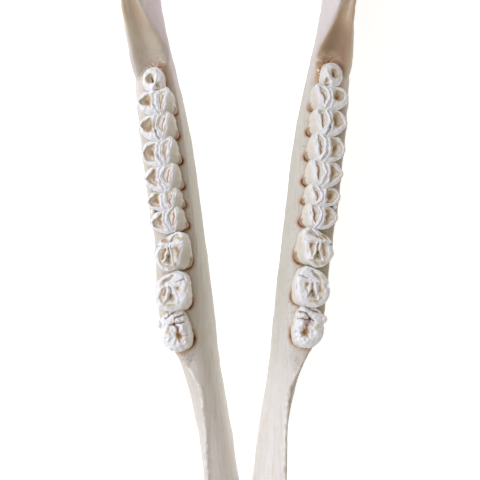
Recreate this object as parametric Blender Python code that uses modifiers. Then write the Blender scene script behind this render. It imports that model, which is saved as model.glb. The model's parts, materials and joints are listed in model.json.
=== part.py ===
"""The lower jaw of a giraffe: two mirrored halves with their teeth, lying on the lower border.

Metres, +Z up. The front of the jaw points to -Y and the animal's left is +X. The floor is at z 0,
and the origin is on the floor, in the middle of the jaw's length and of its width.
Sizes below are written in millimetres and turned to metres as the points are made.
"""

import math
import random

import bmesh
import bpy
import numpy as np
from mathutils import Vector

MM = 0.001

# Each curve is a list of (position along the jaw, value), from the bone behind the incisors back to
# the ramus. It is read as one smooth line through its points.
CREST_X = (
    (-221, 29), (-190, 23), (-158, 18.2), (-113, 22.1), (-78, 23.7), (-61, 25.6), (-41, 31.5), (-24, 36.2),
    (-3, 37.8), (21, 39.8), (40, 42.6), (67, 45.1), (90, 47.0), (115, 48.0), (145, 50), (200, 56),
)
CREST_Z = (
    (-221, 49.5), (-190, 46), (-155, 42), (-115, 40), (-75, 42), (-47, 46), (-25, 50), (25, 55.5),
    (75, 60), (120, 64), (140, 65), (165, 60), (200, 48),
)
CREST_WIDTH = (
    (-221, 7), (-190, 5), (-115, 3.5), (-61, 4), (-47, 7), (-37, 12), (-25, 15.5), (5, 18.5),
    (40, 19.5), (90, 20), (113, 17), (130, 12), (200, 5),
)
LATERAL_X = (
    (-221, 32), (-190, 25.5), (-158, 19.5), (-115, 22.9), (-90, 24.9), (-67, 29.2), (-56, 32), (-44, 35.5),
    (-25, 42), (-2, 46), (25, 49.5), (47, 52.3), (69, 55.2), (91, 58.6), (115, 61.2), (140, 61), (200, 59.5),
)
MEDIAL_X = (
    (-221, -4), (-145, -4), (-132, 0.8), (-115, 4.2), (-92, 7.3), (-69, 11.2), (-46, 14.9), (-22, 17.3),
    (1, 19.9), (25, 22.9), (49, 25.8), (73, 28.8), (96, 32.7), (120, 38), (144, 43.6), (167, 48), (200, 53),
)
MEDIAL_Z = (
    (-221, 47), (-190, 41), (-160, 32), (-145, 26), (-130, 20), (-115, 16), (-45, 15), (65, 20), (200, 26),
)
BASE_X = (
    (-221, 14), (-190, 11), (-155, 9.5), (-115, 11.5), (-85, 15), (-45, 24), (5, 33), (55, 40), (200, 56),
)
BASE_Z = (
    (-221, 39), (-190, 25), (-155, 17.5), (-125, 13.5), (-85, 11), (-45, 7), (-5, 1.8), (25, -0.7),
    (50, -0.7), (75, 0.6), (115, 4), (145, 6.5), (175, 8), (200, 14),
)

# The front margin bends back round the incisors: by this much at this distance from the middle.
FRONT_BEND, FRONT_BEND_X, FRONT_BEND_REACH = 19, 30, 40
BODY_FRONT, BODY_BACK, BODY_SECTIONS = -221, 200, 46

# The ramus, the coronoid process and the condyle's neck are blades, as (height, value).
RAMUS = {
    "front_y": (
        (-0.7, 165), (6, 145), (14, 129), (30, 119), (55, 117), (66, 121), (90, 133), (115, 143), (136, 151),
    ),
    "back_y": (
        (-0.7, 187), (6, 202), (14, 211), (30, 219), (50, 223), (75, 222), (100, 224), (125, 230), (136, 234),
    ),
    "front_x": ((-0.7, 52), (40, 51), (66, 50.4), (80, 52.2), (100, 54.8), (115, 56.1), (136, 57.2)),
    "back_x": ((-0.7, 53.5), (30, 55.5), (75, 60), (136, 63.5)),
    "front_thick": (
        (-0.7, 7), (14, 9), (50, 18), (66, 22), (80, 19), (100, 14.2), (115, 11.4), (136, 8),
    ),
    "mid_thick": ((-0.7, 6), (14, 8), (60, 8), (136, 6)),
    "back_thick": ((-0.7, 6), (14, 8), (60, 8), (136, 9)),
}
CORONOID = {
    "front_y": ((112, 146), (140, 153), (170, 165), (195, 179), (208, 189), (216, 199)),
    "back_y": (
        (112, 201), (130, 197), (140, 190), (155, 185), (170, 187), (190, 194), (205, 202), (216, 208),
    ),
    "front_x": ((112, 56.5), (150, 57.5), (190, 57), (216, 55)),
    "back_x": ((112, 58), (150, 58), (190, 57), (216, 55)),
    "front_thick": ((112, 8), (150, 6.5), (190, 5), (216, 3)),
    "mid_thick": ((112, 7), (150, 6.5), (190, 5), (216, 3)),
    "back_thick": ((112, 5), (150, 4.5), (190, 4), (216, 3)),
}
NECK = {
    "front_y": ((100, 201), (125, 204), (138, 212), (152, 224)),
    "back_y": ((100, 224), (125, 231), (140, 236), (152, 238.5)),
    "front_x": ((100, 61), (125, 62), (152, 62)),
    "back_x": ((100, 62), (125, 63), (152, 62)),
    "front_thick": ((100, 7), (125, 8), (138, 14), (152, 28)),
    "mid_thick": ((100, 8), (125, 11), (138, 18), (152, 33)),
    "back_thick": ((100, 8), (125, 10), (138, 16), (152, 28)),
}
CONDYLE_CENTRE, CONDYLE_RADII = (61.5, 231.4, 153), (18, 8.5, 7.5)
FRONT_HOLLOW = 3.0

# Cheek teeth from the front to the back, with the shares of the length that each lobe takes.
ROW_FRONT = -36.6
CHEEK_TEETH = (
    {"name": "p2", "length": 23.1, "width": 17.0, "rise": 11.5, "lobes": (0.62, 0.38)},
    {"name": "p3", "length": 22.5, "width": 20.0, "rise": 13.0, "lobes": (0.62, 0.38)},
    {"name": "p4", "length": 21.5, "width": 20.6, "rise": 13.5, "lobes": (0.62, 0.38)},
    {"name": "m1", "length": 22.8, "width": 20.2, "rise": 13.0, "lobes": (0.54, 0.46)},
    {"name": "m2", "length": 27.8, "width": 21.0, "rise": 14.0, "lobes": (0.5, 0.5)},
    {"name": "m3", "length": 39.3, "width": 20.8, "rise": 14.0, "lobes": (0.36, 0.32, 0.32)},
)
LAST_LOBE_WIDTH = 0.62
LOBE_OVERLAP, ROOT_DEPTH, LINGUAL_LEAN = 0.5, 9, 3.4

# A lobe seen from above, as shares of its length (front to back) and width (tongue side to cheek side).
MOLAR_LOBE = (
    (0.47, -0.02), (0.43, 0.25), (0.30, 0.44), (0.08, 0.5), (-0.14, 0.42), (-0.42, 0.22), (-0.5, 0.02),
    (-0.45, -0.22), (-0.3, -0.42), (0.0, -0.5), (0.3, -0.44), (0.44, -0.24),
)
ROUND_LOBE = (
    (0.48, 0.0), (0.44, 0.26), (0.26, 0.46), (0.0, 0.5), (-0.27, 0.46), (-0.44, 0.28), (-0.5, 0.0),
    (-0.44, -0.27), (-0.27, -0.45), (0.0, -0.5), (0.27, -0.46), (0.44, -0.28),
)
# Enamel ridges on the chewing face, in the same shares: round the cheek side, along the fold, and along
# the tongue side.
MOLAR_RIDGES = (
    ((-0.5, 0.0), (-0.4, 0.2), (-0.12, 0.37), (0.08, 0.44), (0.26, 0.38), (0.39, 0.22), (0.48, -0.02)),
    ((-0.5, 0.0), (-0.15, 0.08), (0.15, 0.08), (0.48, -0.02)),
    ((-0.45, -0.1), (-0.2, -0.24), (0.1, -0.27), (0.4, -0.17), (0.48, -0.02)),
)
PREMOLAR_RIDGES = (
    ((-0.36, -0.1), (-0.34, 0.2), (-0.1, 0.38), (0.2, 0.36), (0.42, 0.16)),
    ((0.42, 0.16), (0.4, -0.14), (0.1, -0.3), (-0.2, -0.28), (-0.36, -0.1)),
    ((-0.3, 0.0), (0.0, 0.1), (0.4, 0.1)),
)
BASIN_DEPTH, RIDGE_WIDTH, CROWN_TILT = 2.8, 1.9, 4.6

# Incisors and the two-lobed canine fan out round a centre. Each has its angle from straight ahead, its
# crown's width and its share of the longest crown's reach.
FAN_CENTRE = (-189, 43)
FAN_ROOT, FAN_TIP = (21, 30), (42, 50)
INCISORS = (
    {"name": "i1", "angle": 9.5, "width": 13.8, "reach": 1.0},
    {"name": "i2", "angle": 27.5, "width": 13.8, "reach": 0.99},
    {"name": "i3", "angle": 44.5, "width": 13.3, "reach": 0.97},
    {"name": "canine_front", "angle": 61, "width": 12.4, "reach": 0.98},
    {"name": "canine_back", "angle": 74, "width": 10.4, "reach": 0.9},
)
INCISOR_RISE, INCISOR_THICK = 9, 5.2
# Along an incisor, from root to edge: share of the way, of the width and of the thickness.
INCISOR_FORM = (
    (-0.1, 0.35, 0.7), (0.3, 0.5, 1), (0.5, 0.72, 1), (0.7, 0.96, 0.8), (0.88, 1, 0.5), (1, 0.86, 0.24),
)

MIDLINE_GAP = 0.15  # each half stops this far from the middle, so 0.3 mm lies between them
FLOOR = 0
BONE_VOXEL, BONE_SMOOTHING, BONE_TRIANGLES = 2.2, 5, 3200
VARIATION_SEED, VARIATION = 12, 0.35

BONE_COLOUR = (0.62, 0.55, 0.46, 1)


def along(curve, at):
    """The value of a curve at one place, as one smooth line through its points."""
    places, values = (np.array(column, float) for column in zip(*curve))
    slopes = np.gradient(values, places)
    at = float(np.clip(at, places[0], places[-1]))
    i = int(np.clip(np.searchsorted(places, at) - 1, 0, len(places) - 2))
    step = places[i + 1] - places[i]
    t = (at - places[i]) / step
    return float(
        (1 + 2 * t) * (1 - t) ** 2 * values[i]
        + t * (1 - t) ** 2 * step * slopes[i]
        + t * t * (3 - 2 * t) * values[i + 1]
        + t * t * (t - 1) * step * slopes[i + 1]
    )


def closed_line(points, per_span):
    """Points along a smooth closed line through the given ones."""
    points = np.array(points, float)
    tangents = (np.roll(points, -1, 0) - np.roll(points, 1, 0)) / 2
    line = []
    for i, start in enumerate(points):
        end = points[(i + 1) % len(points)]
        for t in np.arange(per_span) / per_span:
            line.append(
                (1 + 2 * t) * (1 - t) ** 2 * start
                + t * (1 - t) ** 2 * tangents[i]
                + t * t * (3 - 2 * t) * end
                + t * t * (t - 1) * tangents[(i + 1) % len(points)]
            )
    return line


def loft(name, rings):
    """A closed body through rings of equally many points in millimetres, capped at both ends."""
    work = bmesh.new()
    loops = [[work.verts.new(Vector(p) * MM) for p in ring] for ring in rings]
    for near, far in zip(loops, loops[1:]):
        for i in range(len(near)):
            j = (i + 1) % len(near)
            work.faces.new((near[i], near[j], far[j], far[i]))
    work.faces.new(loops[0][::-1])
    work.faces.new(loops[-1])
    bmesh.ops.recalc_face_normals(work, faces=work.faces)
    mesh = bpy.data.meshes.new(name)
    work.to_mesh(mesh)
    work.free()
    piece = bpy.data.objects.new(name, mesh)
    bpy.context.scene.collection.objects.link(piece)
    return piece


def body_section(y):
    """The jaw's body cut across at y: cheek side down, lower border, tongue side up."""
    crest_x, crest_z, crest_half = along(CREST_X, y), along(CREST_Z, y), along(CREST_WIDTH, y) / 2
    lateral, medial, medial_z = along(LATERAL_X, y), along(MEDIAL_X, y), along(MEDIAL_Z, y)
    base_x, base_z = along(BASE_X, y), along(BASE_Z, y)
    height = crest_z - base_z
    outer, inner = crest_x + crest_half, crest_x - crest_half
    corners = (
        (outer, crest_z - 0.04 * height),
        (0.25 * outer + 0.75 * lateral, crest_z - 0.24 * height),
        (lateral, crest_z - 0.5 * height),
        (lateral - 0.12 * (lateral - base_x), base_z + 0.26 * height),
        (base_x + 0.45 * (lateral - base_x), base_z + 0.06 * height),
        (base_x, base_z),
        (0.4 * base_x + 0.6 * medial, base_z + 0.3 * (medial_z - base_z)),
        (medial, medial_z),
        (0.66 * medial + 0.34 * inner, medial_z + 0.42 * (crest_z - medial_z)),
        (0.22 * medial + 0.78 * inner, medial_z + 0.8 * (crest_z - medial_z)),
        (inner, crest_z - 0.03 * height),
        (crest_x, crest_z),
    )
    front = max(0.0, 1 - (y - BODY_FRONT) / FRONT_BEND_REACH)
    ease = front * front * (3 - 2 * front)
    return [(x, y + ease * FRONT_BEND * (x / FRONT_BEND_X) ** 2, z) for x, z in closed_line(corners, 2)]


def jaw_body():
    """The tooth-bearing body, the gap in front of the cheek teeth and the chin."""
    return loft("jaw_body", [body_section(y) for y in np.linspace(BODY_FRONT, BODY_BACK, BODY_SECTIONS)])


def blade_section(blade, z):
    """A blade cut across at height z: front edge, tongue side, back edge, cheek side."""
    front_y, back_y = along(blade["front_y"], z), along(blade["back_y"], z)
    front_x, back_x = along(blade["front_x"], z), along(blade["back_x"], z)
    front, middle, back = (along(blade[k], z) / 2 for k in ("front_thick", "mid_thick", "back_thick"))
    length = back_y - front_y

    def at(share, half):
        x = front_x + share * (back_x - front_x) + half
        return (x, front_y + share * length)

    # the ridge that climbs from the last molar, with a hollow between it and the outer edge
    skew, hollow = 0.65 * front / length, FRONT_HOLLOW / length
    corners = (
        at(0.0, front * 0.75),
        at(0.4 * skew + hollow, 0.05 * front),
        at(skew, -front),
        at(0.5, -middle),
        at(0.8, -back),
        at(0.97, -0.6 * back),
        at(1.0, 0),
        at(0.97, 0.6 * back),
        at(0.8, back),
        at(0.5, middle),
        at(0.22, 0.5 * (middle + front)),
        at(0.06, front),
    )
    return [(x, y, z) for x, y in closed_line(corners, 2)]


def blade(name, shape, heights):
    return loft(name, [blade_section(shape, z) for z in heights])


def condyle():
    """The rounded roll that the skull hinges on."""
    bpy.ops.mesh.primitive_uv_sphere_add(segments=24, ring_count=12, radius=1)
    roll = bpy.context.object
    roll.name = "condyle"
    for vertex in roll.data.vertices:
        vertex.co = Vector([(c + r * v) * MM for c, r, v in zip(CONDYLE_CENTRE, CONDYLE_RADII, vertex.co)])
    return roll


def evaluated(source, name):
    """A new object with the shape that the source has after its modifiers. The source is removed."""
    graph = bpy.context.evaluated_depsgraph_get()
    mesh = bpy.data.meshes.new_from_object(source.evaluated_get(graph))
    made = bpy.data.objects.new(name, mesh)
    bpy.context.scene.collection.objects.link(made)
    bpy.data.objects.remove(source)
    return made


def joined(name, pieces):
    """Pieces put in one mesh, as they lie."""
    work = bmesh.new()
    for piece in pieces:
        work.from_mesh(piece.data)
        bpy.data.objects.remove(piece)
    mesh = bpy.data.meshes.new(name)
    work.to_mesh(mesh)
    work.free()
    made = bpy.data.objects.new(name, mesh)
    bpy.context.scene.collection.objects.link(made)
    return made


def bone():
    """The bare bone of one half: body, ramus, coronoid process and condyle, melted into one skin."""
    pieces = [
        jaw_body(),
        blade("ramus", RAMUS, (-0.7, 2, 6, 10, 14, 22, 30, 42, 55, 66, 78, 90, 102, 115, 126, 136)),
        blade("coronoid", CORONOID, (112, 125, 140, 155, 170, 183, 195, 203, 210, 216)),
        blade("neck", NECK, (100, 112, 125, 133, 140, 146, 152)),
        condyle(),
    ]
    made = joined("bone", pieces)
    melt = made.modifiers.new("melt", "REMESH")
    melt.mode = "VOXEL"
    melt.voxel_size = BONE_VOXEL * MM
    ease = made.modifiers.new("ease", "SMOOTH")
    ease.iterations = BONE_SMOOTHING
    made = evaluated(made, "bone")
    thin = made.modifiers.new("thin", "DECIMATE")
    triangles = sum(len(p.vertices) - 2 for p in made.data.polygons)
    thin.ratio = BONE_TRIANGLES / triangles
    return evaluated(made, "bone")


def distance_to(lines, at):
    """The distance from a point to the nearest of some open lines."""
    nearest = math.inf
    for line in lines:
        for a, b in zip(line, line[1:]):
            run = (b[0] - a[0], b[1] - a[1])
            share = ((at[0] - a[0]) * run[0] + (at[1] - a[1]) * run[1]) / (run[0] ** 2 + run[1] ** 2)
            share = min(1.0, max(0.0, share))
            nearest = min(nearest, math.hypot(at[0] - a[0] - share * run[0], at[1] - a[1] - share * run[1]))
    return nearest


def lobe(name, centre_y, length, width, rise, outline, ridges, lean):
    """One lobe of a cheek tooth: a root sunk in the bone, a wall and a chewing face with raised ridges."""
    slope = along(CREST_X, centre_y + 5) - along(CREST_X, centre_y - 5)
    turn = math.atan2(slope, 10)
    centre_x, margin = along(CREST_X, centre_y), along(CREST_Z, centre_y)
    lines = [[(a * length, b * width) for a, b in line] for line in ridges]
    edge = [(a * length, b * width) for a, b in closed_line(outline, 2)]

    def placed(a, b, z):
        return (
            centre_x + b * math.cos(turn) + a * math.sin(turn),
            centre_y + a * math.cos(turn) - b * math.sin(turn),
            z,
        )

    def leaned(b, share):
        return b + share * lean * max(0.0, -b / (width / 2))

    def face(a, b):
        depth = BASIN_DEPTH * (1 - math.exp(-((distance_to(lines, (a, b)) / RIDGE_WIDTH) ** 2)))
        return margin + rise - CROWN_TILT * (b / width + 0.2) - depth

    rings = []
    rings.append([placed(a * 0.6, b * 0.6, margin - ROOT_DEPTH) for a, b in edge])
    for share, scale in ((-0.2, 0.9), (0.45, 1.0), (0.84, 0.98)):
        rings.append([placed(a, leaned(b, share) * scale, margin + share * rise) for a, b in edge])
    for scale in (0.9, 0.52, 0.16):
        ring = [(a * scale, leaned(b, 1) * scale) for a, b in edge]
        rings.append([placed(a, b, face(a, b)) for a, b in ring])
    return loft(name, rings)


def cheek_teeth():
    """All lobes of the row, each reaching a little into its neighbours."""
    made, front = [], ROW_FRONT
    for tooth in CHEEK_TEETH:
        molar = tooth["name"].startswith("m")
        for i, share in enumerate(tooth["lobes"]):
            length = share * tooth["length"]
            last = tooth["name"] == "m3" and i == 2
            width = tooth["width"] * (LAST_LOBE_WIDTH if last else 1 if molar or i == 0 else 0.94)
            made.append(
                lobe(
                    f"{tooth['name']}_lobe_{i + 1}",
                    front + length / 2,
                    length + 2 * LOBE_OVERLAP,
                    width,
                    tooth["rise"] - (2 if last else 0),
                    MOLAR_LOBE if molar and not last else ROUND_LOBE,
                    MOLAR_RIDGES if molar and not last else PREMOLAR_RIDGES,
                    LINGUAL_LEAN * width / tooth["width"],
                )
            )
            front += length
    return made


def incisor(name, angle, width, reach):
    """A spade-shaped front tooth: a root in the chin, a neck and a crown that widens to a thin edge."""
    angle = math.radians(angle)
    out = Vector((math.sin(angle), -math.cos(angle), 0))
    side = Vector((math.cos(angle), math.sin(angle), 0))
    centre_y, centre_z = FAN_CENTRE

    def reach_at(radii):
        return Vector((out.x * radii[0], centre_y + out.y * radii[1], 0))

    start, tip = reach_at(FAN_ROOT), reach_at([r * reach for r in FAN_TIP])
    rings = []
    for share, wide, thick in INCISOR_FORM:
        middle = start.lerp(tip, share)
        z = centre_z + INCISOR_RISE * max(0.0, share) ** 1.5
        ring = []
        for i in range(10):
            turn = 2 * math.pi * i / 10
            across = side * (math.cos(turn) * width * wide / 2)
            up = math.sin(turn) * INCISOR_THICK * thick / 2
            ring.append(middle + across + Vector((0, 0, z + up)))
        rings.append(ring)
    return loft(name, rings)


def union(base, pieces, solver):
    """The base with all pieces joined to it by one Boolean. The pieces are removed."""
    group = bpy.data.collections.new("joined_pieces")
    bpy.context.scene.collection.children.link(group)
    for piece in pieces:
        bpy.context.scene.collection.objects.unlink(piece)
        group.objects.link(piece)
    join = base.modifiers.new("join", "BOOLEAN")
    join.operation = "UNION"
    join.solver = solver
    join.operand_type = "COLLECTION"
    join.collection = group
    made = evaluated(base, base.name)
    for piece in list(group.objects):
        bpy.data.objects.remove(piece)
    bpy.data.collections.remove(group)
    return made


def trimmed(whole):
    """Cut flat at the floor and at the middle, so that the halves meet face to face."""
    bpy.ops.mesh.primitive_cube_add(size=1)
    room = bpy.context.object
    low, high = Vector((MIDLINE_GAP, -300, FLOOR)) * MM, Vector((120, 300, 300)) * MM
    for vertex in room.data.vertices:
        vertex.co = Vector([a if v < 0 else b for a, b, v in zip(low, high, vertex.co)])
    keep = whole.modifiers.new("keep", "BOOLEAN")
    keep.operation = "INTERSECT"
    keep.solver = "MANIFOLD"
    keep.object = room
    made = evaluated(whole, whole.name)
    bpy.data.objects.remove(room)
    return made


def largest_body(piece):
    """Only the largest closed surface of the mesh is kept."""
    work = bmesh.new()
    work.from_mesh(piece.data)
    left, bodies = set(work.faces), []
    while left:
        reached, rim = set(), [next(iter(left))]
        while rim:
            face = rim.pop()
            if face not in reached:
                reached.add(face)
                rim.extend(f for edge in face.edges for f in edge.link_faces)
        left -= reached
        bodies.append(reached)
    bodies.sort(key=len)
    bmesh.ops.delete(work, geom=[face for body in bodies[:-1] for face in body], context="FACES")
    work.to_mesh(piece.data)
    work.free()


def jaw_half(name, side):
    """One half of the jaw with its teeth, on the +X side for side 1 and mirrored for side -1."""
    teeth = cheek_teeth() + [incisor(**tooth) for tooth in INCISORS]
    vary = random.Random(VARIATION_SEED + side)
    for tooth in teeth:
        shift = Vector([vary.uniform(-VARIATION, VARIATION) * MM for _ in range(3)])
        for vertex in tooth.data.vertices:
            vertex.co += shift
    made = trimmed(union(bone(), teeth, "MANIFOLD"))
    largest_body(made)
    made.name = made.data.name = name
    if side < 0:
        for vertex in made.data.vertices:
            vertex.co.x *= -1
        made.data.flip_normals()
    return made


def bone_material(name):
    material = bpy.data.materials.new(name)
    material.use_nodes = True
    shader = material.node_tree.nodes["Principled BSDF"]
    shader.inputs["Base Color"].default_value = BONE_COLOUR
    shader.inputs["Roughness"].default_value = 0.6
    shader.inputs["Metallic"].default_value = 0
    return material


def main():
    for thing in list(bpy.data.objects):
        bpy.data.objects.remove(thing)
    jaw = bpy.data.collections.new("giraffe_lower_jaw")
    bpy.context.scene.collection.children.link(jaw)
    for name, side in (("mandible_left", 1), ("mandible_right", -1)):
        half = jaw_half(name, side)
        half.data.materials.clear()
        half.data.materials.append(bone_material(f"{name}_bone"))
        half.data.shade_smooth()
        half.data.set_sharp_from_angle(angle=math.radians(50))
        bpy.context.scene.collection.objects.unlink(half)
        jaw.objects.link(half)


main()
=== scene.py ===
import json
import math
import random

import bmesh
import bpy
import numpy as np
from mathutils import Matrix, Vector, kdtree, noise

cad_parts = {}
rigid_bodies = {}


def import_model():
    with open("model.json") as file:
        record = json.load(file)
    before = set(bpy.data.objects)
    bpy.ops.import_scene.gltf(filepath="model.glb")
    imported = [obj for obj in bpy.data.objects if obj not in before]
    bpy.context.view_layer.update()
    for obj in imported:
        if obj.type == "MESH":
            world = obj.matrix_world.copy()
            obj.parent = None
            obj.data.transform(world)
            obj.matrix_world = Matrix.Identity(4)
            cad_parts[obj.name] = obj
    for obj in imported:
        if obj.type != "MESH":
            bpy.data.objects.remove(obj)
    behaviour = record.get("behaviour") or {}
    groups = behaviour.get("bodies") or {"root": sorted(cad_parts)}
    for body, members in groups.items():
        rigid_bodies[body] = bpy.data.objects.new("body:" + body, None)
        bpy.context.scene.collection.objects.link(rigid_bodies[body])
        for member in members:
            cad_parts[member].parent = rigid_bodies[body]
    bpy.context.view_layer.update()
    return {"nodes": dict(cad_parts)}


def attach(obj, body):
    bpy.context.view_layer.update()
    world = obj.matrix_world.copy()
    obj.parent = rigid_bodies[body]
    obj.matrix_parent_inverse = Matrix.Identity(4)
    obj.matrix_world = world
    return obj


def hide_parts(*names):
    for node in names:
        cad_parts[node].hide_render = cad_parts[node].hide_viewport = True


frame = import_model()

mm = 0.001
print("frame loaded:", sorted(frame["nodes"]))

# Lengths are in millimetres, in the frame of the solids: -Y to the incisors, +X to the animal's left.
# The left half is modelled on +X. The right half is modelled there too, and then mirrored.


def curve(t, start, leave, end, arrive, step=1):
    # a smooth way from start to end over t = 0 to 1, with the slopes leave and arrive
    return (
        (1 + 2 * t) * (1 - t) ** 2 * start
        + t * (1 - t) ** 2 * step * leave
        + t * t * (3 - 2 * t) * end
        + t * t * (t - 1) * step * arrive
    )


def readLine(line, at):
    # the value of a line of (place, value) pairs at one place or many
    places, values = np.array(line, float).T
    slopes = np.gradient(values, places)
    at = np.clip(at, places[0], places[-1])
    i = np.clip(np.searchsorted(places, at) - 1, 0, len(places) - 2)
    step = places[i + 1] - places[i]
    return curve((at - places[i]) / step, values[i], slopes[i], values[i + 1], slopes[i + 1], step)


def closedLine(points, perSpan):
    # a smooth closed outline through the points
    points = np.array(points, float)
    ends = np.roll(points, -1, 0)
    leave = (ends - np.roll(points, 1, 0)) / 2
    t = (np.arange(perSpan) / perSpan)[None, :, None]
    line = curve(t, points[:, None], leave[:, None], ends[:, None], np.roll(leave, -1, 0)[:, None])
    return line.reshape(-1, points.shape[1])


def smoothStep(low, high, value):
    t = np.clip((value - low) / (high - low), 0, 1)
    return t * t * (3 - 2 * t)


def fade(distance, radius):
    # 1 at no distance, falling as a bell does over the radius
    return np.exp(-((distance / radius) ** 2))


def getPoints(mesh):
    co = np.empty(len(mesh.vertices) * 3, np.float32)
    mesh.vertices.foreach_get("co", co)
    return co.reshape(-1, 3).astype(float) / mm


def setPoints(mesh, points):
    mesh.vertices.foreach_set("co", (points * mm).astype(np.float32).ravel())
    mesh.update()


def getNormals(mesh):
    normals = np.empty(len(mesh.vertices) * 3, np.float32)
    mesh.vertex_normals.foreach_get("vector", normals)
    return normals.reshape(-1, 3).astype(float)


def pointsOut(mesh):
    mesh.calc_loop_triangles()
    corners = np.empty(len(mesh.loop_triangles) * 3, np.int32)
    mesh.loop_triangles.foreach_get("vertices", corners)
    triangle = getPoints(mesh)[corners.reshape(-1, 3)]
    return np.linalg.det(triangle).sum() > 0


def newObject(name, mesh):
    piece = bpy.data.objects.new(name, mesh)
    bpy.context.scene.collection.objects.link(piece)
    return piece


def objectFrom(name, work):
    mesh = bpy.data.meshes.new(name)
    work.to_mesh(mesh)
    work.free()
    return newObject(name, mesh)


def pulledSphere(name, rings):
    # a sphere whose circles of latitude are pulled over the rings, with the poles in the end rings' middles
    count, around = rings.shape[:2]
    work = bmesh.new()
    bmesh.ops.create_uvsphere(work, u_segments=around, v_segments=count + 1, radius=1)
    piece = objectFrom(name, work)
    co = getPoints(piece.data) * mm
    ring = np.rint(np.arccos(np.clip(co[:, 2], -1, 1)) / math.pi * (count + 1)).astype(int)
    turn = np.rint(np.arctan2(co[:, 1], co[:, 0]) / (2 * math.pi) * around).astype(int) % around
    placed = rings[np.clip(ring - 1, 0, count - 1), turn]
    placed[ring == 0] = rings[0].mean(0)
    placed[ring == count + 1] = rings[-1].mean(0)
    setPoints(piece.data, placed)
    if not pointsOut(piece.data):
        piece.data.flip_normals()
    return piece


def ellipsoid(name, centre, radii, segments=24):
    work = bmesh.new()
    bmesh.ops.create_uvsphere(work, u_segments=segments, v_segments=segments // 2, radius=1)
    bmesh.ops.scale(work, vec=Vector(radii) * mm, verts=work.verts)
    bmesh.ops.translate(work, vec=Vector(centre) * mm, verts=work.verts)
    return objectFrom(name, work)


def finished(piece):
    # the piece as its modifiers leave it, with none left on it
    graph = bpy.context.evaluated_depsgraph_get()
    mesh = bpy.data.meshes.new_from_object(piece.evaluated_get(graph))
    name = piece.name
    bpy.data.objects.remove(piece)
    made = newObject(name, mesh)
    made.name = mesh.name = name
    return made


def joined(name, pieces):
    work = bmesh.new()
    for piece in pieces:
        work.from_mesh(piece.data)
        bpy.data.objects.remove(piece)
    return objectFrom(name, work)


def combined(piece, operation, others):
    # one Boolean with all the others at once, which are then removed
    group = bpy.data.collections.new("combined")
    bpy.context.scene.collection.children.link(group)
    for other in others:
        bpy.context.scene.collection.objects.unlink(other)
        group.objects.link(other)
    cut = piece.modifiers.new("combine", "BOOLEAN")
    cut.operation = operation
    cut.solver = "MANIFOLD"
    cut.operand_type = "COLLECTION"
    cut.collection = group
    made = finished(piece)
    for other in list(group.objects):
        bpy.data.objects.remove(other)
    bpy.data.collections.remove(group)
    return made


def keepLargest(piece):
    work = bmesh.new()
    work.from_mesh(piece.data)
    left, bodies = set(work.faces), []
    while left:
        reached, rim = set(), [next(iter(left))]
        while rim:
            face = rim.pop()
            if face not in reached:
                reached.add(face)
                rim.extend(f for edge in face.edges for f in edge.link_faces if f not in reached)
        left -= reached
        bodies.append(reached)
    bodies.sort(key=len)
    bmesh.ops.delete(work, geom=[face for body in bodies[:-1] for face in body], context="FACES")
    work.to_mesh(piece.data)
    work.free()


def distanceTo(line, at, closed=False):
    # from each point to a line of straight stretches
    line, nearest = np.array(line, float), np.full(len(at), np.inf)
    if closed:
        line = np.vstack((line, line[:1]))
    for start, end in zip(line, line[1:]):
        run = end - start
        share = np.clip(((at - start) @ run) / max(run @ run, 1e-9), 0, 1)
        nearest = np.minimum(nearest, np.hypot(*(at - start - share[:, None] * run).T))
    return nearest


def setColours(mesh, name, values):
    layer = mesh.attributes.get(name) or mesh.attributes.new(name, "FLOAT_COLOR", "POINT")
    full = np.ones((len(values), 4), np.float32)
    full[:, : values.shape[1]] = values
    layer.data.foreach_set("color", full.ravel())


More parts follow.
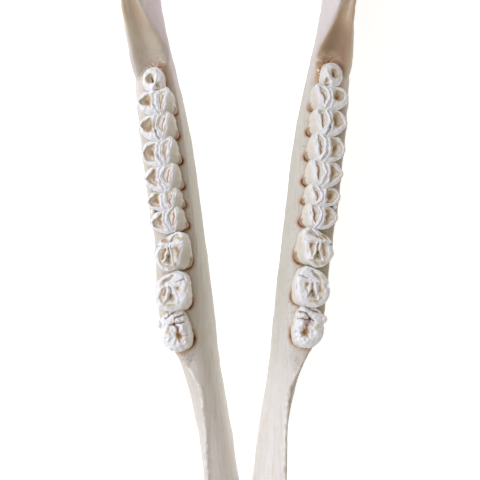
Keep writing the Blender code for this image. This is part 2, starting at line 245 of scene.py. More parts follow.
# The bone of one half: lines along its length, as (place on Y, value)
jawBone = {
    "crestX": (
        (-221, 29), (-190, 23), (-158, 18.2), (-113, 22.1), (-78, 23.7), (-61, 25.6), (-41, 31.5),
        (-24, 36.2), (-3, 37.8), (21, 39.8), (40, 42.6), (67, 45.1), (90, 47), (115, 48), (145, 50),
        (200, 56),
    ),
    "crestZ": (
        (-221, 49.5), (-190, 46), (-155, 42), (-115, 40), (-75, 42), (-47, 46), (-25, 50), (25, 55.5),
        (75, 60), (120, 64), (140, 65), (165, 60), (200, 48),
    ),
    "crestWidth": (
        (-221, 7), (-190, 5), (-115, 3.5), (-61, 4), (-47, 7), (-37, 12), (-25, 15.5), (5, 18.5),
        (40, 19.5), (90, 20), (113, 17), (130, 12), (200, 5),
    ),
    "tongueLedge": ((-221, 0), (-60, 0), (-30, 1.5), (100, 2), (125, 0), (200, 0)),
    "lateralX": (
        (-221, 32), (-190, 25.5), (-158, 19.5), (-115, 22.9), (-90, 24.9), (-67, 29.2), (-56, 32),
        (-44, 35.5), (-25, 42), (-2, 46), (25, 49.5), (47, 52.3), (69, 55.6), (91, 59.5), (105, 61),
        (115, 61.6), (140, 61), (200, 59.5),
    ),
    "medialX": (
        (-221, -4), (-145, -4), (-132, 0.8), (-115, 4.2), (-92, 7.3), (-69, 11.2), (-46, 14.9), (-22, 17.3),
        (1, 19.9), (25, 22.9), (49, 25.8), (73, 28.8), (96, 32.7), (120, 38), (144, 43.6), (167, 48),
        (200, 53),
    ),
    "medialZ": (
        (-221, 47), (-190, 41), (-160, 32), (-145, 26), (-130, 20), (-115, 16), (-45, 15), (65, 20),
        (200, 26),
    ),
    "baseX": (
        (-221, 14), (-190, 11), (-155, 9.5), (-115, 11.5), (-85, 15), (-45, 24), (5, 33), (55, 40), (200, 56),
    ),
    "baseZ": (
        (-221, 39), (-190, 25), (-155, 17.5), (-125, 13.5), (-85, 11), (-45, 7), (-5, 1.8), (25, -0.7),
        (50, -0.7), (75, 0.6), (115, 4), (145, 6.5), (175, 8), (200, 14),
    ),
    "sections": 90,
    "frontBend": 19,  # how far the chin's front curves back at frontBendAtX
    "frontBendAtX": 30,
    "frontBendReach": 40,
    "midlineGap": 0.15,
    "voxel": 0.9,
    "smoothing": 5,
}
# What differs between the halves. row: how far back the teeth start. lean: how far in the outer side of
# the ramus stands. The mauve is painted shade on the ramus, on one half only. tan, deepTan: tints of the
# ramus.
# tanFrom, tanBehind: heights and places on Y over which the tan comes in. outer: how much painted shade
# darkens
# the outer side. Lines: what is added to the bone's own lines.
apart = {
    "left": {
        "row": 0.8, "lean": 3.5, "mauveShade": 0.0, "tan": 1.0, "deepTan": 1.0,
        "tanFrom": (46, 76), "tanBehind": (97, 119), "outer": 1.0,
        "lateralX": ((-165, 0), (-130, -2.2), (-112, -2.2), (-80, -1.1), (-50, -0.8), (-30, 0), (0, 0)),
    },
    "right": {
        "row": -0.8, "lean": 0.0, "mauveShade": 1.0, "tan": 0.82, "deepTan": 0.0,
        "tanFrom": (60, 98), "tanBehind": (106, 128), "outer": 0.55,
        "lateralX": (
            (-165, 0), (-130, 1.0), (-112, 1.4), (-85, 2.6), (-56, 2.8), (-30, 3.0), (-8, 2.8), (8, 1.6),
            (24, 0), (40, 0),
        ),
        "crestX": ((-70, 0), (-52, 0.3), (-36, 2.6), (-10, 2.8), (8, 1.6), (24, 0), (40, 0)),
    },
}


def boneLine(name, y, side):
    more = apart[side].get(name)
    return readLine(jawBone[name], y) + (0 if more is None else readLine(more, y))


def bodySection(y, side):
    line = {name: boneLine(name, y, side) for name in jawBone if isinstance(jawBone[name], tuple)}
    outer = line["crestX"] + line["crestWidth"] / 2
    inner = line["crestX"] - line["crestWidth"] / 2 - line["tongueLedge"] / 2
    lateral, medial, medialZ = line["lateralX"], line["medialX"], line["medialZ"]
    baseX, baseZ, crestZ = line["baseX"], line["baseZ"], line["crestZ"]
    height = crestZ - baseZ
    # from the crest down the cheek side, over the base and up the tongue side, as shares between the lines
    corners = (
        (outer, crestZ - 0.04 * height),
        (0.25 * outer + 0.75 * lateral, crestZ - 0.24 * height),
        (lateral, crestZ - 0.5 * height),
        (lateral - 0.12 * (lateral - baseX), baseZ + 0.26 * height),
        (baseX + 0.45 * (lateral - baseX), baseZ + 0.06 * height),
        (baseX, baseZ),
        (0.4 * baseX + 0.6 * medial, baseZ + 0.3 * (medialZ - baseZ)),
        (medial, medialZ),
        (0.86 * medial + 0.14 * inner, medialZ + 0.45 * (crestZ - medialZ)),
        (0.54 * medial + 0.46 * inner, medialZ + 0.78 * (crestZ - medialZ)),
        (0.12 * medial + 0.88 * inner, medialZ + 0.94 * (crestZ - medialZ)),
        (line["crestX"], crestZ),
    )
    ring = closedLine(corners, 4)
    ease = smoothStep(0, 1, 1 - (y - jawBone["crestX"][0][0]) / jawBone["frontBendReach"])
    back = y + ease * jawBone["frontBend"] * (ring[:, 0] / jawBone["frontBendAtX"]) ** 2
    return np.column_stack((ring[:, 0], back, ring[:, 1]))


# Blades of bone that stand up at the back, as (height, value)
ramus = {
    "heights": (-0.7, 136, 40),
    "frontY": (
        (-0.7, 165), (6, 145), (14, 129), (30, 119), (50, 115), (60, 115.5), (66, 119), (74, 124.5),
        (90, 133), (115, 143), (136, 151),
    ),
    "backY": (
        (-0.7, 187), (6, 202), (14, 211), (30, 219), (50, 223), (75, 222), (100, 224), (125, 230), (136, 234),
    ),
    "frontX": ((-0.7, 52), (40, 51), (66, 50.4), (80, 52.2), (100, 54.8), (115, 56.1), (136, 57.2)),
    "backX": ((-0.7, 53.5), (30, 55.5), (75, 60), (136, 63.5)),
    "frontThick": (
        (-0.7, 7), (14, 9), (50, 18), (66, 22.4), (80, 19.6), (100, 14.6), (115, 11.6), (128, 8.6),
        (136, 6.5),
    ),
    "midThick": ((-0.7, 6), (14, 8), (60, 8), (115, 7.4), (136, 4.6)),
    "backThick": ((-0.7, 6), (14, 8), (60, 8), (136, 9)),
}
coronoid = {
    "heights": (112, 216, 30),
    "frontY": (
        (112, 144), (124, 146.6), (136, 150.4), (150, 156.4), (170, 165), (195, 179), (208, 189), (216, 199),
    ),
    "backY": ((112, 201), (130, 197), (140, 190), (155, 185), (170, 187), (190, 194), (205, 202), (216, 208)),
    "frontX": ((112, 56.4), (136, 57.4), (150, 57.6), (190, 57), (216, 55)),
    "backX": ((112, 60), (136, 61), (150, 59), (190, 57), (216, 55)),
    "frontThick": ((112, 8.4), (124, 9.4), (136, 8.9), (150, 7.2), (190, 5), (216, 3)),
    "midThick": ((112, 6), (124, 7.6), (136, 7.8), (150, 6.8), (190, 5), (216, 3)),
    "backThick": ((112, 5), (130, 6.5), (150, 5), (190, 4), (216, 3)),
}
condyleNeck = {
    "heights": (100, 152, 20),
    "frontY": ((100, 201), (125, 204), (138, 212), (152, 224)),
    "backY": ((100, 224), (125, 231), (140, 236), (152, 238.5)),
    "frontX": ((100, 61), (125, 62), (152, 62)),
    "backX": ((100, 62), (125, 63), (152, 62)),
    "frontThick": ((100, 7), (125, 8), (138, 14), (152, 28)),
    "midThick": ((100, 8), (125, 11), (138, 18), (152, 33)),
    "backThick": ((100, 8), (125, 10), (138, 16), (152, 28)),
}
condyle = {"centre": (61.5, 231.4, 153), "radii": (18, 8.5, 7.5)}


def bladeSection(blade, z):
    frontY, backY = readLine(blade["frontY"], z), readLine(blade["backY"], z)
    frontX, backX = readLine(blade["frontX"], z), readLine(blade["backX"], z)
    front, middle, back = (readLine(blade[k], z) / 2 for k in ("frontThick", "midThick", "backThick"))
    skew, hollow = 0.65 * front / (backY - frontY), 3.0 / (backY - frontY)
    # as (share of the way back, half the thickness), once round from the front edge
    corners = (
        (0.0, front * 0.75), (0.4 * skew + hollow, 0.05 * front), (skew, -front), (0.5, -middle),
        (0.8, -back), (0.97, -0.6 * back), (1.0, 0), (0.97, 0.6 * back), (0.8, back), (0.5, middle),
        (0.22, 0.5 * (middle + front)), (0.06, front),
    )
    ring = closedLine(corners, 4)
    share, half = ring.T
    x = frontX + share * (backX - frontX) + half
    return np.column_stack((x, frontY + share * (backY - frontY), np.full(len(ring), z)))


def noiseAt(points, seed):
    offset = Vector((seed * 17.3, seed * 5.1, seed * 9.7))
    return np.array([noise.noise(Vector(p) + offset) for p in points])


# Forms of a crown, seen from above. Places are in hundredths of its length (50 is the front) and width (50 is
# the cheek side). Sizes are in millimetres. edge: the crown's outline at the top. neck: its outline at the
# bone. basins: (outline, step, slope, tan). ridges: (line, rise, half width). slits: (line, half width,
# depth, darkness). pits: (place, radius, depth, darkness). tan, orange: (line, radius, strength). tilt,
# endDip, dome: how far the face falls to the cheek side, to its ends and at its edge. soft: how wide the side
# of a basin is. narrow, toCheek, lower: how a lobe differs in size and place from its tooth. swell: how far
# the neck bulges at its front on the tongue side.
molarNeck = (
    (46, -6), (43, 12), (40, 27), (25, 39), (3, 43), (-18, 38), (-36, 27), (-46, 13), (-49, 0),
    (-48, -24), (-33, -42), (-2, -47), (27, -46), (45, -38), (50, -22),
)
frontLobe = {
    "edge": (
        (50, -8), (47, 12), (43, 29), (25, 43), (4, 50), (-16, 44), (-36, 33), (-48, 19), (-53, 3),
        (-47, -13), (-20, -21), (5, -26.5), (30, -32.5), (50, -34), (58, -22),
    ),
    "neck": molarNeck,
    "middle": (0, 8),
    "basins": (
        (((6, 46), (24, 30), (41, 10), (22, 14), (-6, 17), (-28, 12.5), (-40, 5), (-26, 27), (-3, 42)),
         1.5, 0.42, 0.4),
        (((33, -5), (47, -15), (49, -27), (33, -27), (4, -20.5), (-11, -17.5), (-34, -12), (-8, -2),
         (11, 0.5)), 0.65, 0.2, 0.2),
    ),
    "ridges": (
        (((44, 6), (25, 10), (0, 13), (-22, 11), (-42, 2)), 0.5, 0.38),
        (((42, -8), (28, -1), (6, 4.5), (-14, 2.5), (-38, -7)), 0.6, 0.38),
    ),
    "slits": (
        (((42, -1), (28, 4.5), (6, 8.5), (-14, 7.2)), 0.4, 1.4, 0.45),
        (((-14, 7.2), (-34, 1), (-42, -3)), 0.72, 2.0, 0.75),
    ),
    "pits": (((2, 22), 1.3, 0.9, 0.3),),
    # the first tan line, in the back half of the cheek basin, is partly dentine and partly painted shade on
    # its slope
    "tan": ((((30, 19), (10, 24)), 1.5, 0.95), (((-20, 20), (2, 36)), 1.6, 0.2)),
    "orange": (
        (((26, -20), (5, -15), (-20, -13.5)), 0.45, 1.0), (((6, 19), (-6, 20)), 1.0, 0.8),
        (((-6, 18.5), (-20, 15)), 0.6, 0.55),
    ),
    "tilt": 3.8, "endDip": 1.5, "dome": 0.7,
}
backLobe = {
    "edge": (
        (52, -10), (46, 10), (44, 31), (22, 45), (-3, 50), (-29, 42), (-45, 27), (-52, 14), (-53, 0),
        (-46, -15), (-20, -22), (2, -27), (30, -33.5), (52, -35.5), (62, -26),
    ),
    "neck": molarNeck,
    "middle": (0, 8),
    "basins": (
        (((30, 35), (40, 9), (11, 12.5), (-16, 13.5), (-36, 12), (-30, 32), (-6, 44), (14, 43)),
         1.5, 0.42, 0.45),
        (((33, -7), (50, -25), (42, -30), (28, -28), (4, -21.5), (-30, -16), (-14, -7), (11, -4)),
         0.65, 0.2, 0.2),
    ),
    "ridges": (
        (((44, 4), (25, 8), (0, 10), (-22, 9), (-42, 0)), 0.5, 0.38),
        (((45, -13), (28, -2), (5, 0), (-14, -2), (-40, -10)), 0.6, 0.38),
    ),
    "slits": (
        (((42, -4), (28, 3), (4, 5.2), (-14, 4)), 0.4, 1.4, 0.45),
        (((-14, 4), (-34, -1), (-42, -6)), 0.66, 1.9, 0.75),
    ),
    "pits": (((0, 22), 1.4, 1.0, 0.4),),
    # this tan, in the back half of the cheek basin, is partly dentine and partly painted shade on its slope
    "tan": ((((25, 22), (0, 27)), 1.7, 0.95),),
    "orange": (
        (((24, -18), (0, -13.5), (-25, -14)), 0.42, 0.95), (((4, 22), (-7, 18)), 1.1, 0.9),
        (((-5, 16), (-20, 16)), 0.5, 0.5),
    ),
    "tilt": 3.8, "endDip": 1.5, "dome": 0.7,
}
broadWing = {  # on the last molar the cheek basin keeps to the back of each lobe
    "basins": (
        (((18, 42), (34, 31), (43, 13), (22, 12), (-2, 14), (-18, 20), (-15, 33), (0, 44)),
         1.3, 0.32, 0.8),
        frontLobe["basins"][1],
    ),
    # this tan, in the back half of the cheek basin, is partly dentine and partly painted shade on its slope
    "tan": ((((24, 17), (5, 18)), 1.6, 1.0),),
    "soft": 1.0,
}
lastFront = {**frontLobe, **broadWing}
lastMiddle = {**backLobe, **broadWing, "basins": (broadWing["basins"][0], backLobe["basins"][1])}
heel = {
    "edge": (
        (50, -5), (44, 20), (26, 41), (0, 49), (-26, 44), (-43, 28), (-50, 8), (-50, -12), (-40, -32),
        (-20, -44), (5, -47), (28, -40), (44, -25),
    ),
    "neck": (
        (50, -5), (45, 18), (27, 38), (0, 45), (-26, 41), (-43, 26), (-50, 6), (-50, -15), (-42, -37),
        (-20, -49), (5, -52), (30, -46), (46, -28),
    ),
    "middle": (0, 0),
    "basins": (
        (((26, 8), (20, 26), (2, 34), (-16, 28), (-22, 12), (-8, -2), (12, -6)), 1.1, 0.4, 0.75),
        (((-12, -12), (-20, -34), (-36, -36), (-42, -18), (-30, -10)), 0.9, 0.3, 0.7),
    ),
    "ridges": (
        (((10, -20), (-8, -10), (-28, -2), (-46, 5)), 0.8, 0.7), (((-26, -30), (-34, -20)), 0.5, 0.4),
    ),
    "slits": ((((6, 4), (-8, 3)), 0.5, 1.4, 0.9), (((-44, -10), (-42, -30)), 0.4, 1.2, 0.6)),
    "pits": (((-28, -26), 0.9, 0.8, 0.4), ((-47, -22), 0.9, 1.0, 0.6)),
    "tan": ((((12, 10), (-2, 20)), 1.8, 0.95), (((-20, -24), (-34, -26)), 1.2, 0.85)),
    "orange": ((((2, 5), (-6, 6)), 0.8, 0.8),),
    "soft": 0.9, "tilt": 2.0, "endDip": 0.4, "dome": 1.3,
    "narrow": 0.56, "toCheek": 1.0, "lower": 2.0, "swell": 0.8,
}
crownP4 = {
    "edge": (
        (50, -20), (45, -2), (37, 13), (28, 31), (18, 42), (12.5, 35), (6, 44), (-12, 50), (-32, 41),
        (-46, 25), (-50, 8), (-43, -7), (-30, -17), (-8, -22), (12, -31), (28, -35), (42, -35),
    ),
    "neck": (
        (46, -18), (42, 0), (36, 14), (27, 27), (17, 36), (12, 34), (5, 38), (-12, 43), (-32, 36),
        (-45, 22), (-49, 4), (-46, -18), (-34, -40), (-10, -50), (12, -50), (28, -47), (42, -38),
    ),
    "middle": (-5, 8),
    "basins": (
        (((10, 30), (-10, 38), (-29, 32), (-39, 19), (-41, 4), (-32, -8), (-10, -13), (11, -20), (12, 0)),
         0.4, 0.03, 0.3),
        (((24, 25), (31, 20), (36, 8), (43, -8), (43, -24), (33, -26), (25, -6), (22, 10)),
         0.6, 0.1, 0.4),
    ),
    "ridges": (
        (((11, 12), (-2, 13.5), (-14, 16.5), (-28, 22), (-34, 11), (-30, -3)), 0.7, 0.55),
        (((12, 3), (-4, 1), (-18, -2), (-30, -4)), 0.7, 0.5),
        (((22, 12), (27, 6), (33, 4), (42, -12)), 0.6, 0.4),
    ),
    "slits": (
        (((9, 7.5), (-4, 7.5), (-13, 9)), 0.4, 1.1, 0.55), (((-13, 9), (-27, 16)), 0.8, 1.2, 0.4),
        (((-14, 8), (-29, 1)), 0.8, 1.2, 0.4),
        (((23.5, 17), (29, 0), (35, -2), (45, -17)), 0.45, 1.0, 0.6),
        (((13.5, 39), (15, 20), (13, 7)), 0.35, 0.7, 0.35), (((15, -18), (19, -33)), 0.35, 0.7, 0.3),
    ),
    "pits": (((-23, 8.5), 1.4, 0.6, 0.75),),
    "tan": (
        (((-14, 8.5), (-24, 8.5)), 1.5, 1.0),
        (((11, 20), (-2, 26), (-15, 30), (-34, 26), (-42, 10), (-33, -10)), 0.9, 0.7),
        (((13, -12), (0, -15), (-10, -15)), 1.4, 0.6), (((36, -18), (33, -26)), 1.2, 0.7),
        (((26, 24), (32, 14)), 0.9, 0.7),
    ),
    "orange": (
        (((9, 17), (-4, 22.5), (-16, 25)), 0.6, 1.0), (((5, -13), (2, -13.5)), 1.0, 1.0),
        (((27, 24), (32, 15)), 0.5, 0.8),
    ),
    "tilt": 2.2, "endDip": 0.6, "dome": 0.9,
}
crownP3 = {
    "edge": (
        (50, -18), (45, 2), (36, 24), (24, 39), (14, 45), (10, 41), (2, 47), (-12, 49), (-31, 43),
        (-45, 26), (-50, 5), (-46, -14), (-36, -33), (-12, -44), (12, -45), (30, -41), (43, -33),
    ),
    "neck": (
        (47, -18), (43, 2), (35, 20), (24, 33), (14, 38), (9, 37), (2, 40), (-12, 43), (-31, 37),
        (-44, 22), (-49, 3), (-47, -18), (-38, -40), (-12, -50), (12, -51), (30, -47), (43, -36),
    ),
    "middle": (-3, 2),
    "basins": (
        (((11, 27), (-10, 34), (-28, 30), (-37, 16), (-38, 0), (-28, -13), (-10, -20), (11, -24),
         (12, 0)), 0.45, 0.03, 0.25),
        (((21, 28), (30, 20), (40, 2), (43, -10), (34, -8), (22, 10)), 0.5, 0.1, 0.3),
    ),
    "ridges": (
        (((11, 8), (0, 10), (-14, 14), (-26, 20), (-33, 8), (-28, -6)), 0.65, 0.65),
        (((12, -4), (-3, -6), (-14, -12), (-27, -14)), 0.6, 0.9),
    ),
    "slits": (
        (((10, 2), (-4, 1.5), (-12, 1)), 0.4, 1.1, 0.55), (((-10, 0), (-20, -7)), 0.8, 1.2, 0.4),
        (((-12, 1), (-27, 12)), 0.8, 1.2, 0.4), (((38.5, -3), (30, 10), (19, 22)), 0.7, 1.0, 0.45),
        (((29, -38), (23, -20), (20, -14)), 0.4, 0.9, 0.7),
    ),
    "pits": (((-20, 4), 1.4, 0.6, 0.75),),
    "tan": (
        (((-12, 2), (-21, 3)), 1.5, 1.0),
        (((10, 20), (-5, 25), (-20, 28), (-36, 18), (-36, -6)), 1.0, 0.6),
        (((10, -14), (2, -20)), 1.3, 0.5), (((26, 24), (20, 28)), 1.0, 0.5),
    ),
    "orange": (
        (((4, 18), (-10, 21)), 0.6, 0.85), (((7, -15), (4, -16)), 0.9, 0.85),
        (((-34, 14), (-33, 0)), 0.7, 0.35),
    ),
    "tilt": 1.6, "endDip": 0.5, "dome": 1.2,
}
crownP2 = {
    "edge": (
        (50, -20), (48, 6), (42, 28), (29, 41), (14, 44), (-4, 50), (-27, 43), (-43, 26), (-49, 4),
        (-46, -16), (-36, -34), (-17, -43), (5, -45), (26, -44), (41, -40), (48, -32),
    ),
    "neck": (
        (47, -20), (45, 5), (39, 25), (28, 36), (12, 39), (-5, 43), (-28, 37), (-44, 22), (-50, 2),
        (-49, -20), (-40, -40), (-17, -50), (5, -50), (26, -48), (40, -43), (46, -32),
    ),
    "middle": (0, 0),
    "basins": (),
    "ridges": (
        (((10, 24), (-5, 26)), 0.5, 2.2), (((8, -25), (5, -27)), 2.0, 1.7),
        (((24, -10), (24, -12)), 1.5, 0.8), (((26, -22), (25, -24)), 1.9, 0.9),
        (((25, -36), (24, -38)), 1.6, 0.8), (((10, -4), (9, -5)), 1.2, 0.8),
        (((-30, 14), (-34, 0)), 0.4, 2.2), (((-27, -26), (-30, -28)), 0.4, 1.8),
        (((30, 22), (30, 0), (34, -30)), 0.3, 1.2),
    ),
    "slits": (
        (((37, 18), (41, 0), (46, -20)), 0.6, 1.3, 0.45),
        (((17, 10), (19, -4), (33, -16), (33, -42)), 0.55, 1.3, 0.45),
        (((19, -4), (17, -20), (17, -40)), 0.5, 1.2, 0.45), (((38, 6), (46, 4)), 0.4, 0.9, 0.4),
        (((19, -4), (8, -10), (-2, -10)), 0.5, 1.2, 0.45), (((-10, -12), (-6, -40)), 0.3, 0.6, 0.3),
        (((-13, -8), (-15, -42)), 0.35, 0.7, 0.45), (((-14, -5), (-28, -14)), 0.4, 0.6, 0.45),
        (((-12, -4), (-26, 4)), 0.4, 0.6, 0.5),
    ),
    "pits": (((-11.5, -10), 1.7, 1.4, 0.3), ((-30, -20), 0.6, 0.7, 0.4), ((-27, -32), 0.5, 0.6, 0.4)),
    "tan": ((((6, 22), (4, 24)), 1.6, 0.55), (((-8, -8), (-16, -10)), 2.0, 0.9)),
    "orange": (
        (((-8, -8), (-15, -11)), 1.5, 1.0), (((20, -3), (2, -8)), 0.7, 0.9),
        (((37, 18), (41, 0), (44, -10)), 0.6, 0.85),
        (((17, 10), (19, -4), (33, -16), (33, -38)), 0.5, 0.9),
        (((19, -4), (17, -20), (17, -34)), 0.45, 0.9),
    ),
    "rough": 0.5, "tilt": 1.0, "endDip": 0.4, "dome": 2.2,
    "swell": 0.6,
}

# Cheek teeth from the front to the back: length along the row, width across it, height above the bone, and
# lobes as (share of the length, form, how open its slits are)
rowFront = -36.6
cheekTeeth = (
    {"name": "p2", "length": 23.1, "width": 17.4, "rise": 11.5, "lobes": ((1.0, crownP2, 1.0),)},
    {"name": "p3", "length": 22.5, "width": 20.2, "rise": 13.0, "lobes": ((1.0, crownP3, 1.0),)},
    {"name": "p4", "length": 21.5, "width": 20.8, "rise": 13.5, "lobes": ((1.0, crownP4, 1.0),)},
    {"name": "m1", "length": 22.8, "width": 20.4, "rise": 13.0,
     "lobes": ((0.54, frontLobe, 0.5), (0.46, backLobe, 0.35))},
    {"name": "m2", "length": 27.8, "width": 21.2, "rise": 14.0,
     "lobes": ((0.5, frontLobe, 0.4), (0.5, backLobe, 0.6))},
    {"name": "m3", "length": 39.3, "width": 21.0, "rise": 14.0,
     "lobes": ((0.36, lastFront, 0.75), (0.32, lastMiddle, 0.5), (0.32, heel, 1.0))},
)
crownMesh = {
    "perSpan": 9, "topRings": 36, "wallRings": 22,
    "rootRings": ((0.97, 1.5), (0.9, 4), (0.75, 8)),  # how wide the root is at each depth
    "waver": 0.9, "waverSize": 3.0,  # how far the lines on the crown stray
    "belly": 1.1, "ribs": 0.8, "ribSize": 3.4, "beadSize": 1.7,
    "wrinkles": (((0.55, 0.55, 0.22), 0.28), (1.3, 0.11)),
}
# How tan a crown's wall is at its top, and what its lower part and its cheek side add. gum, root: how tan and
# orange (and dark) the gum line and the bared root are. below: tan, orange and dark inside the socket.
wallPaint = {
    "top": 0.17, "lower": 0.22, "cheek": 0.25, "gum": (0.4, 0.35, 0.35), "gumReach": 2.2,
    "root": (0.6, 0.75), "rootTop": 0.58, "rootLine": 0.8, "below": (0.95, 0.6, 0.7),
}


def lobesOf(tooth, side):
    # each lobe's place, size and form, from the front of the tooth to its back
    front = rowFront + apart[side]["row"] + sum(t["length"] for t in cheekTeeth[: cheekTeeth.index(tooth)])
    overlap = 0.7 if len(tooth["lobes"]) > 1 else 0.2
    for share, form, openness in tooth["lobes"]:
        length = share * tooth["length"]
        y = front + length / 2
        slope = boneLine("crestX", y + 5, side) - boneLine("crestX", y - 5, side)
        front += length
        yield {
            "y": y,
            "x": boneLine("crestX", y, side) + form.get("toCheek", 0),
            "bone": readLine(jawBone["crestZ"], y),
            "turn": math.atan2(slope, 10),
            "length": length + overlap,
            "width": tooth["width"] * form.get("narrow", 1),
            "rise": tooth["rise"] - form.get("lower", 0),
            "form": form,
            "open": openness,
            "swell": form.get("swell", 1.9),
        }


def placedOn(lobe, flat, z):
    # from the lobe's own length and width, in millimetres, to its place on the jaw
    along, across = flat[..., 0], flat[..., 1]
    turn = lobe["turn"]
    x = lobe["x"] + across * math.cos(turn) + along * math.sin(turn)
    y = lobe["y"] + along * math.cos(turn) - across * math.sin(turn)
    return np.stack((x, y, np.broadcast_to(z, x.shape)), -1)


def flatOn(lobe, points):
    # the other way round, without the height
    dx, dy = points[:, 0] - lobe["x"], points[:, 1] - lobe["y"]
    ahead, aside = math.cos(lobe["turn"]), math.sin(lobe["turn"])
    return np.column_stack((dy * ahead + dx * aside, dx * ahead - dy * aside))


def inMm(lobe, line):
    return np.array(line, float) / 100 * (lobe["length"], lobe["width"])


def isInside(outline, at):
    ends = np.roll(outline, -1, 0)
    crossed = np.zeros(len(at), bool)
    for (x, y), (endX, endY) in zip(outline, ends):
        spans = (y > at[:, 1]) != (endY > at[:, 1])
        crossed ^= spans & (at[:, 0] < x + (endX - x) * (at[:, 1] - y) / (endY - y + 1e-12))
    return crossed


def crownTop(lobe, flat, seed):
    # the chewing face: height above the bone, and how tan, orange and dark it is
    form, mesh = lobe["form"], crownMesh
    share, soft = flat / (lobe["length"], lobe["width"]), form.get("soft", 0.85)
    place = np.column_stack((flat, np.zeros(len(flat)))) / mesh["waverSize"]
    flat = flat + mesh["waver"] * np.column_stack([noiseAt(place, seed + k) for k in (0, 1)])
    height = lobe["rise"] - form["tilt"] * (share[:, 1] + 0.3) - form["endDip"] * (2 * share[:, 0]) ** 2
    fromEdge = distanceTo(closedLine(inMm(lobe, form["edge"]), 4), flat, True)
    height -= form["dome"] * fade(fromEdge, 0.5 + 0.6 * form["dome"])
    height += form.get("rough", 0.12) * noiseAt(place * mesh["waverSize"] / mesh["beadSize"], seed + 2)
    tan, orange, dark = np.zeros((3, len(flat)))
    for outline, step, slope, field in form["basins"]:
        outline = closedLine(inMm(lobe, outline), 3)
        depth = distanceTo(outline, flat, True) * isInside(outline, flat)
        height -= step * (1 - fade(depth, soft)) + slope * depth
        # a tan ring at the foot of a basin's side: partly dentine stain, partly painted shade in the groove
        # there
        ring = 0.75 * fade(depth - soft, 0.35)
        tan = np.maximum(tan, np.maximum(ring, field * (1 - fade(depth, 0.7))))
    for line, rise, half in form["ridges"]:
        near = fade(distanceTo(inMm(lobe, line), flat), half)
        height += rise * near
        tan *= 1 - 0.9 * near
    for line, half, depth, darkness in form["slits"]:
        near = distanceTo(inMm(lobe, line), flat)
        height -= lobe["open"] * depth * fade(near, half)
        dark = np.maximum(dark, lobe["open"] * darkness * fade(near, half * 0.9))
    for place, radius, depth, darkness in form["pits"]:
        near = np.hypot(*(flat - inMm(lobe, place)).T)
        height -= depth * fade(near, radius)
        dark = np.maximum(dark, darkness * fade(near, radius * 0.7))
    for line, radius, strength in form["tan"]:
        tan = np.maximum(tan, strength * fade(distanceTo(inMm(lobe, line), flat), radius))
    for line, radius, strength in form["orange"]:
        orange = np.maximum(orange, strength * fade(distanceTo(inMm(lobe, line), flat), radius))
    return height, np.column_stack((tan, orange, dark))


def neckLine(lobe, perSpan):
    # the tooth's outline at the bone, which swells at its front on the tongue side
    neck = closedLine(inMm(lobe, lobe["form"]["neck"]), perSpan)
    along, across = (neck / (lobe["length"], lobe["width"])).T
    crescent = fade(along + 0.31, 0.2) * smoothStep(-0.1, -0.3, across)
    away = neck / np.hypot(*neck.T)[:, None]
    return neck + (lobe["swell"] * crescent)[:, None] * away, away, crescent


def crownLobe(name, lobe, vary):
    form, mesh, look = lobe["form"], crownMesh, wallPaint
    edge = closedLine(inMm(lobe, form["edge"]), mesh["perSpan"])
    neck, _, crescent = neckLine(lobe, mesh["perSpan"])
    cheek = smoothStep(0.05, 0.35, neck[:, 1] / lobe["width"])
    seed = vary.uniform(0, 30)
    middle = inMm(lobe, form["middle"])
    reach = 1 - (1 - np.linspace(0.02, 1, mesh["topRings"])) ** 1.15
    top = middle + reach[:, None, None] * (edge - middle)
    height, paint = crownTop(lobe, top.reshape(-1, 2), seed)
    height = height.reshape(top.shape[:2])
    paint = paint.reshape(*top.shape[:2], 3)
    rings = [placedOn(lobe, flat, lobe["bone"] + z) for flat, z in zip(top, height)]
    colours = list(paint)
    ribs = np.column_stack((edge, np.full(len(edge), seed))) / mesh["ribSize"]
    ribs = mesh["ribs"] * noiseAt(ribs, seed + 4)[:, None]
    for down in np.linspace(0, 1, mesh["wallRings"] + 1)[1:]:
        belly = (mesh["belly"] + ribs) * math.sin(math.pi * down) / lobe["width"]
        flat = (edge + (neck - edge) * smoothStep(-0.25, 1, down)) * (1 + belly)
        rings.append(placedOn(lobe, flat, lobe["bone"] + height[-1] * (1 - down)))
        gum = fade((1 - down) * lobe["rise"], look["gumReach"]) * np.ones(len(edge))
        root = smoothStep(0.35, 0.7, crescent) * smoothStep(look["rootTop"], look["rootTop"] + 0.08, down)
        line = smoothStep(0.3, 0.6, crescent) * fade(down - look["rootTop"], 0.04)
        wall = look["top"] + (look["lower"] + look["cheek"] * cheek) * smoothStep(0.0, 0.3, down)
        colours.append(np.column_stack((
            wall + look["gum"][0] * gum + look["root"][0] * root,
            look["gum"][1] * gum + look["root"][1] * root,
            look["gum"][2] * gum**3 + look["rootLine"] * line,
        )))
    for scale, below in mesh["rootRings"]:
        rings.append(placedOn(lobe, neck * scale, lobe["bone"] - below))
        colours.append(np.tile(look["below"], (len(edge), 1)))
    rings = np.array(rings)
    piece = pulledSphere(name, rings)
    wrinkle(piece.data, vary)
    return piece, rings.reshape(-1, 3), np.array(colours).reshape(-1, 3)


def wrinkle(mesh, vary):
    # giraffe enamel is finely wrinkled
    points, normals = getPoints(mesh), getNormals(mesh)
    seed = vary.uniform(0, 50)
    (wide, high), (fine, low) = crownMesh["wrinkles"]
    rough = noiseAt(points * wide, seed) * high + noiseAt(points * fine, seed + 3) * low
    setPoints(mesh, points + normals * rough[:, None])


def paintFrom(mesh, places, colours):
    # each vertex takes the colour of the nearest place that the crown was shaped from
    tree = kdtree.KDTree(len(places))
    for i, place in enumerate(places):
        tree.insert(place, i)
    tree.balance()
    nearest = [tree.find(point)[1] for point in getPoints(mesh)]
    setColours(mesh, "wear", colours[nearest])


# Knobs of enamel on the cheek side: which lobe of the tooth, place on it, radius and height. Below belowTop
# they lean in to the tooth's neck.
knobs = {
    "p2": (0, (25, 42), 3.1, 10.2),
    "m1": (0, (52, 37), 1.9, 8.0),
}
knobShape = {"deep": 4, "lean": 0.32, "belowTop": 2}


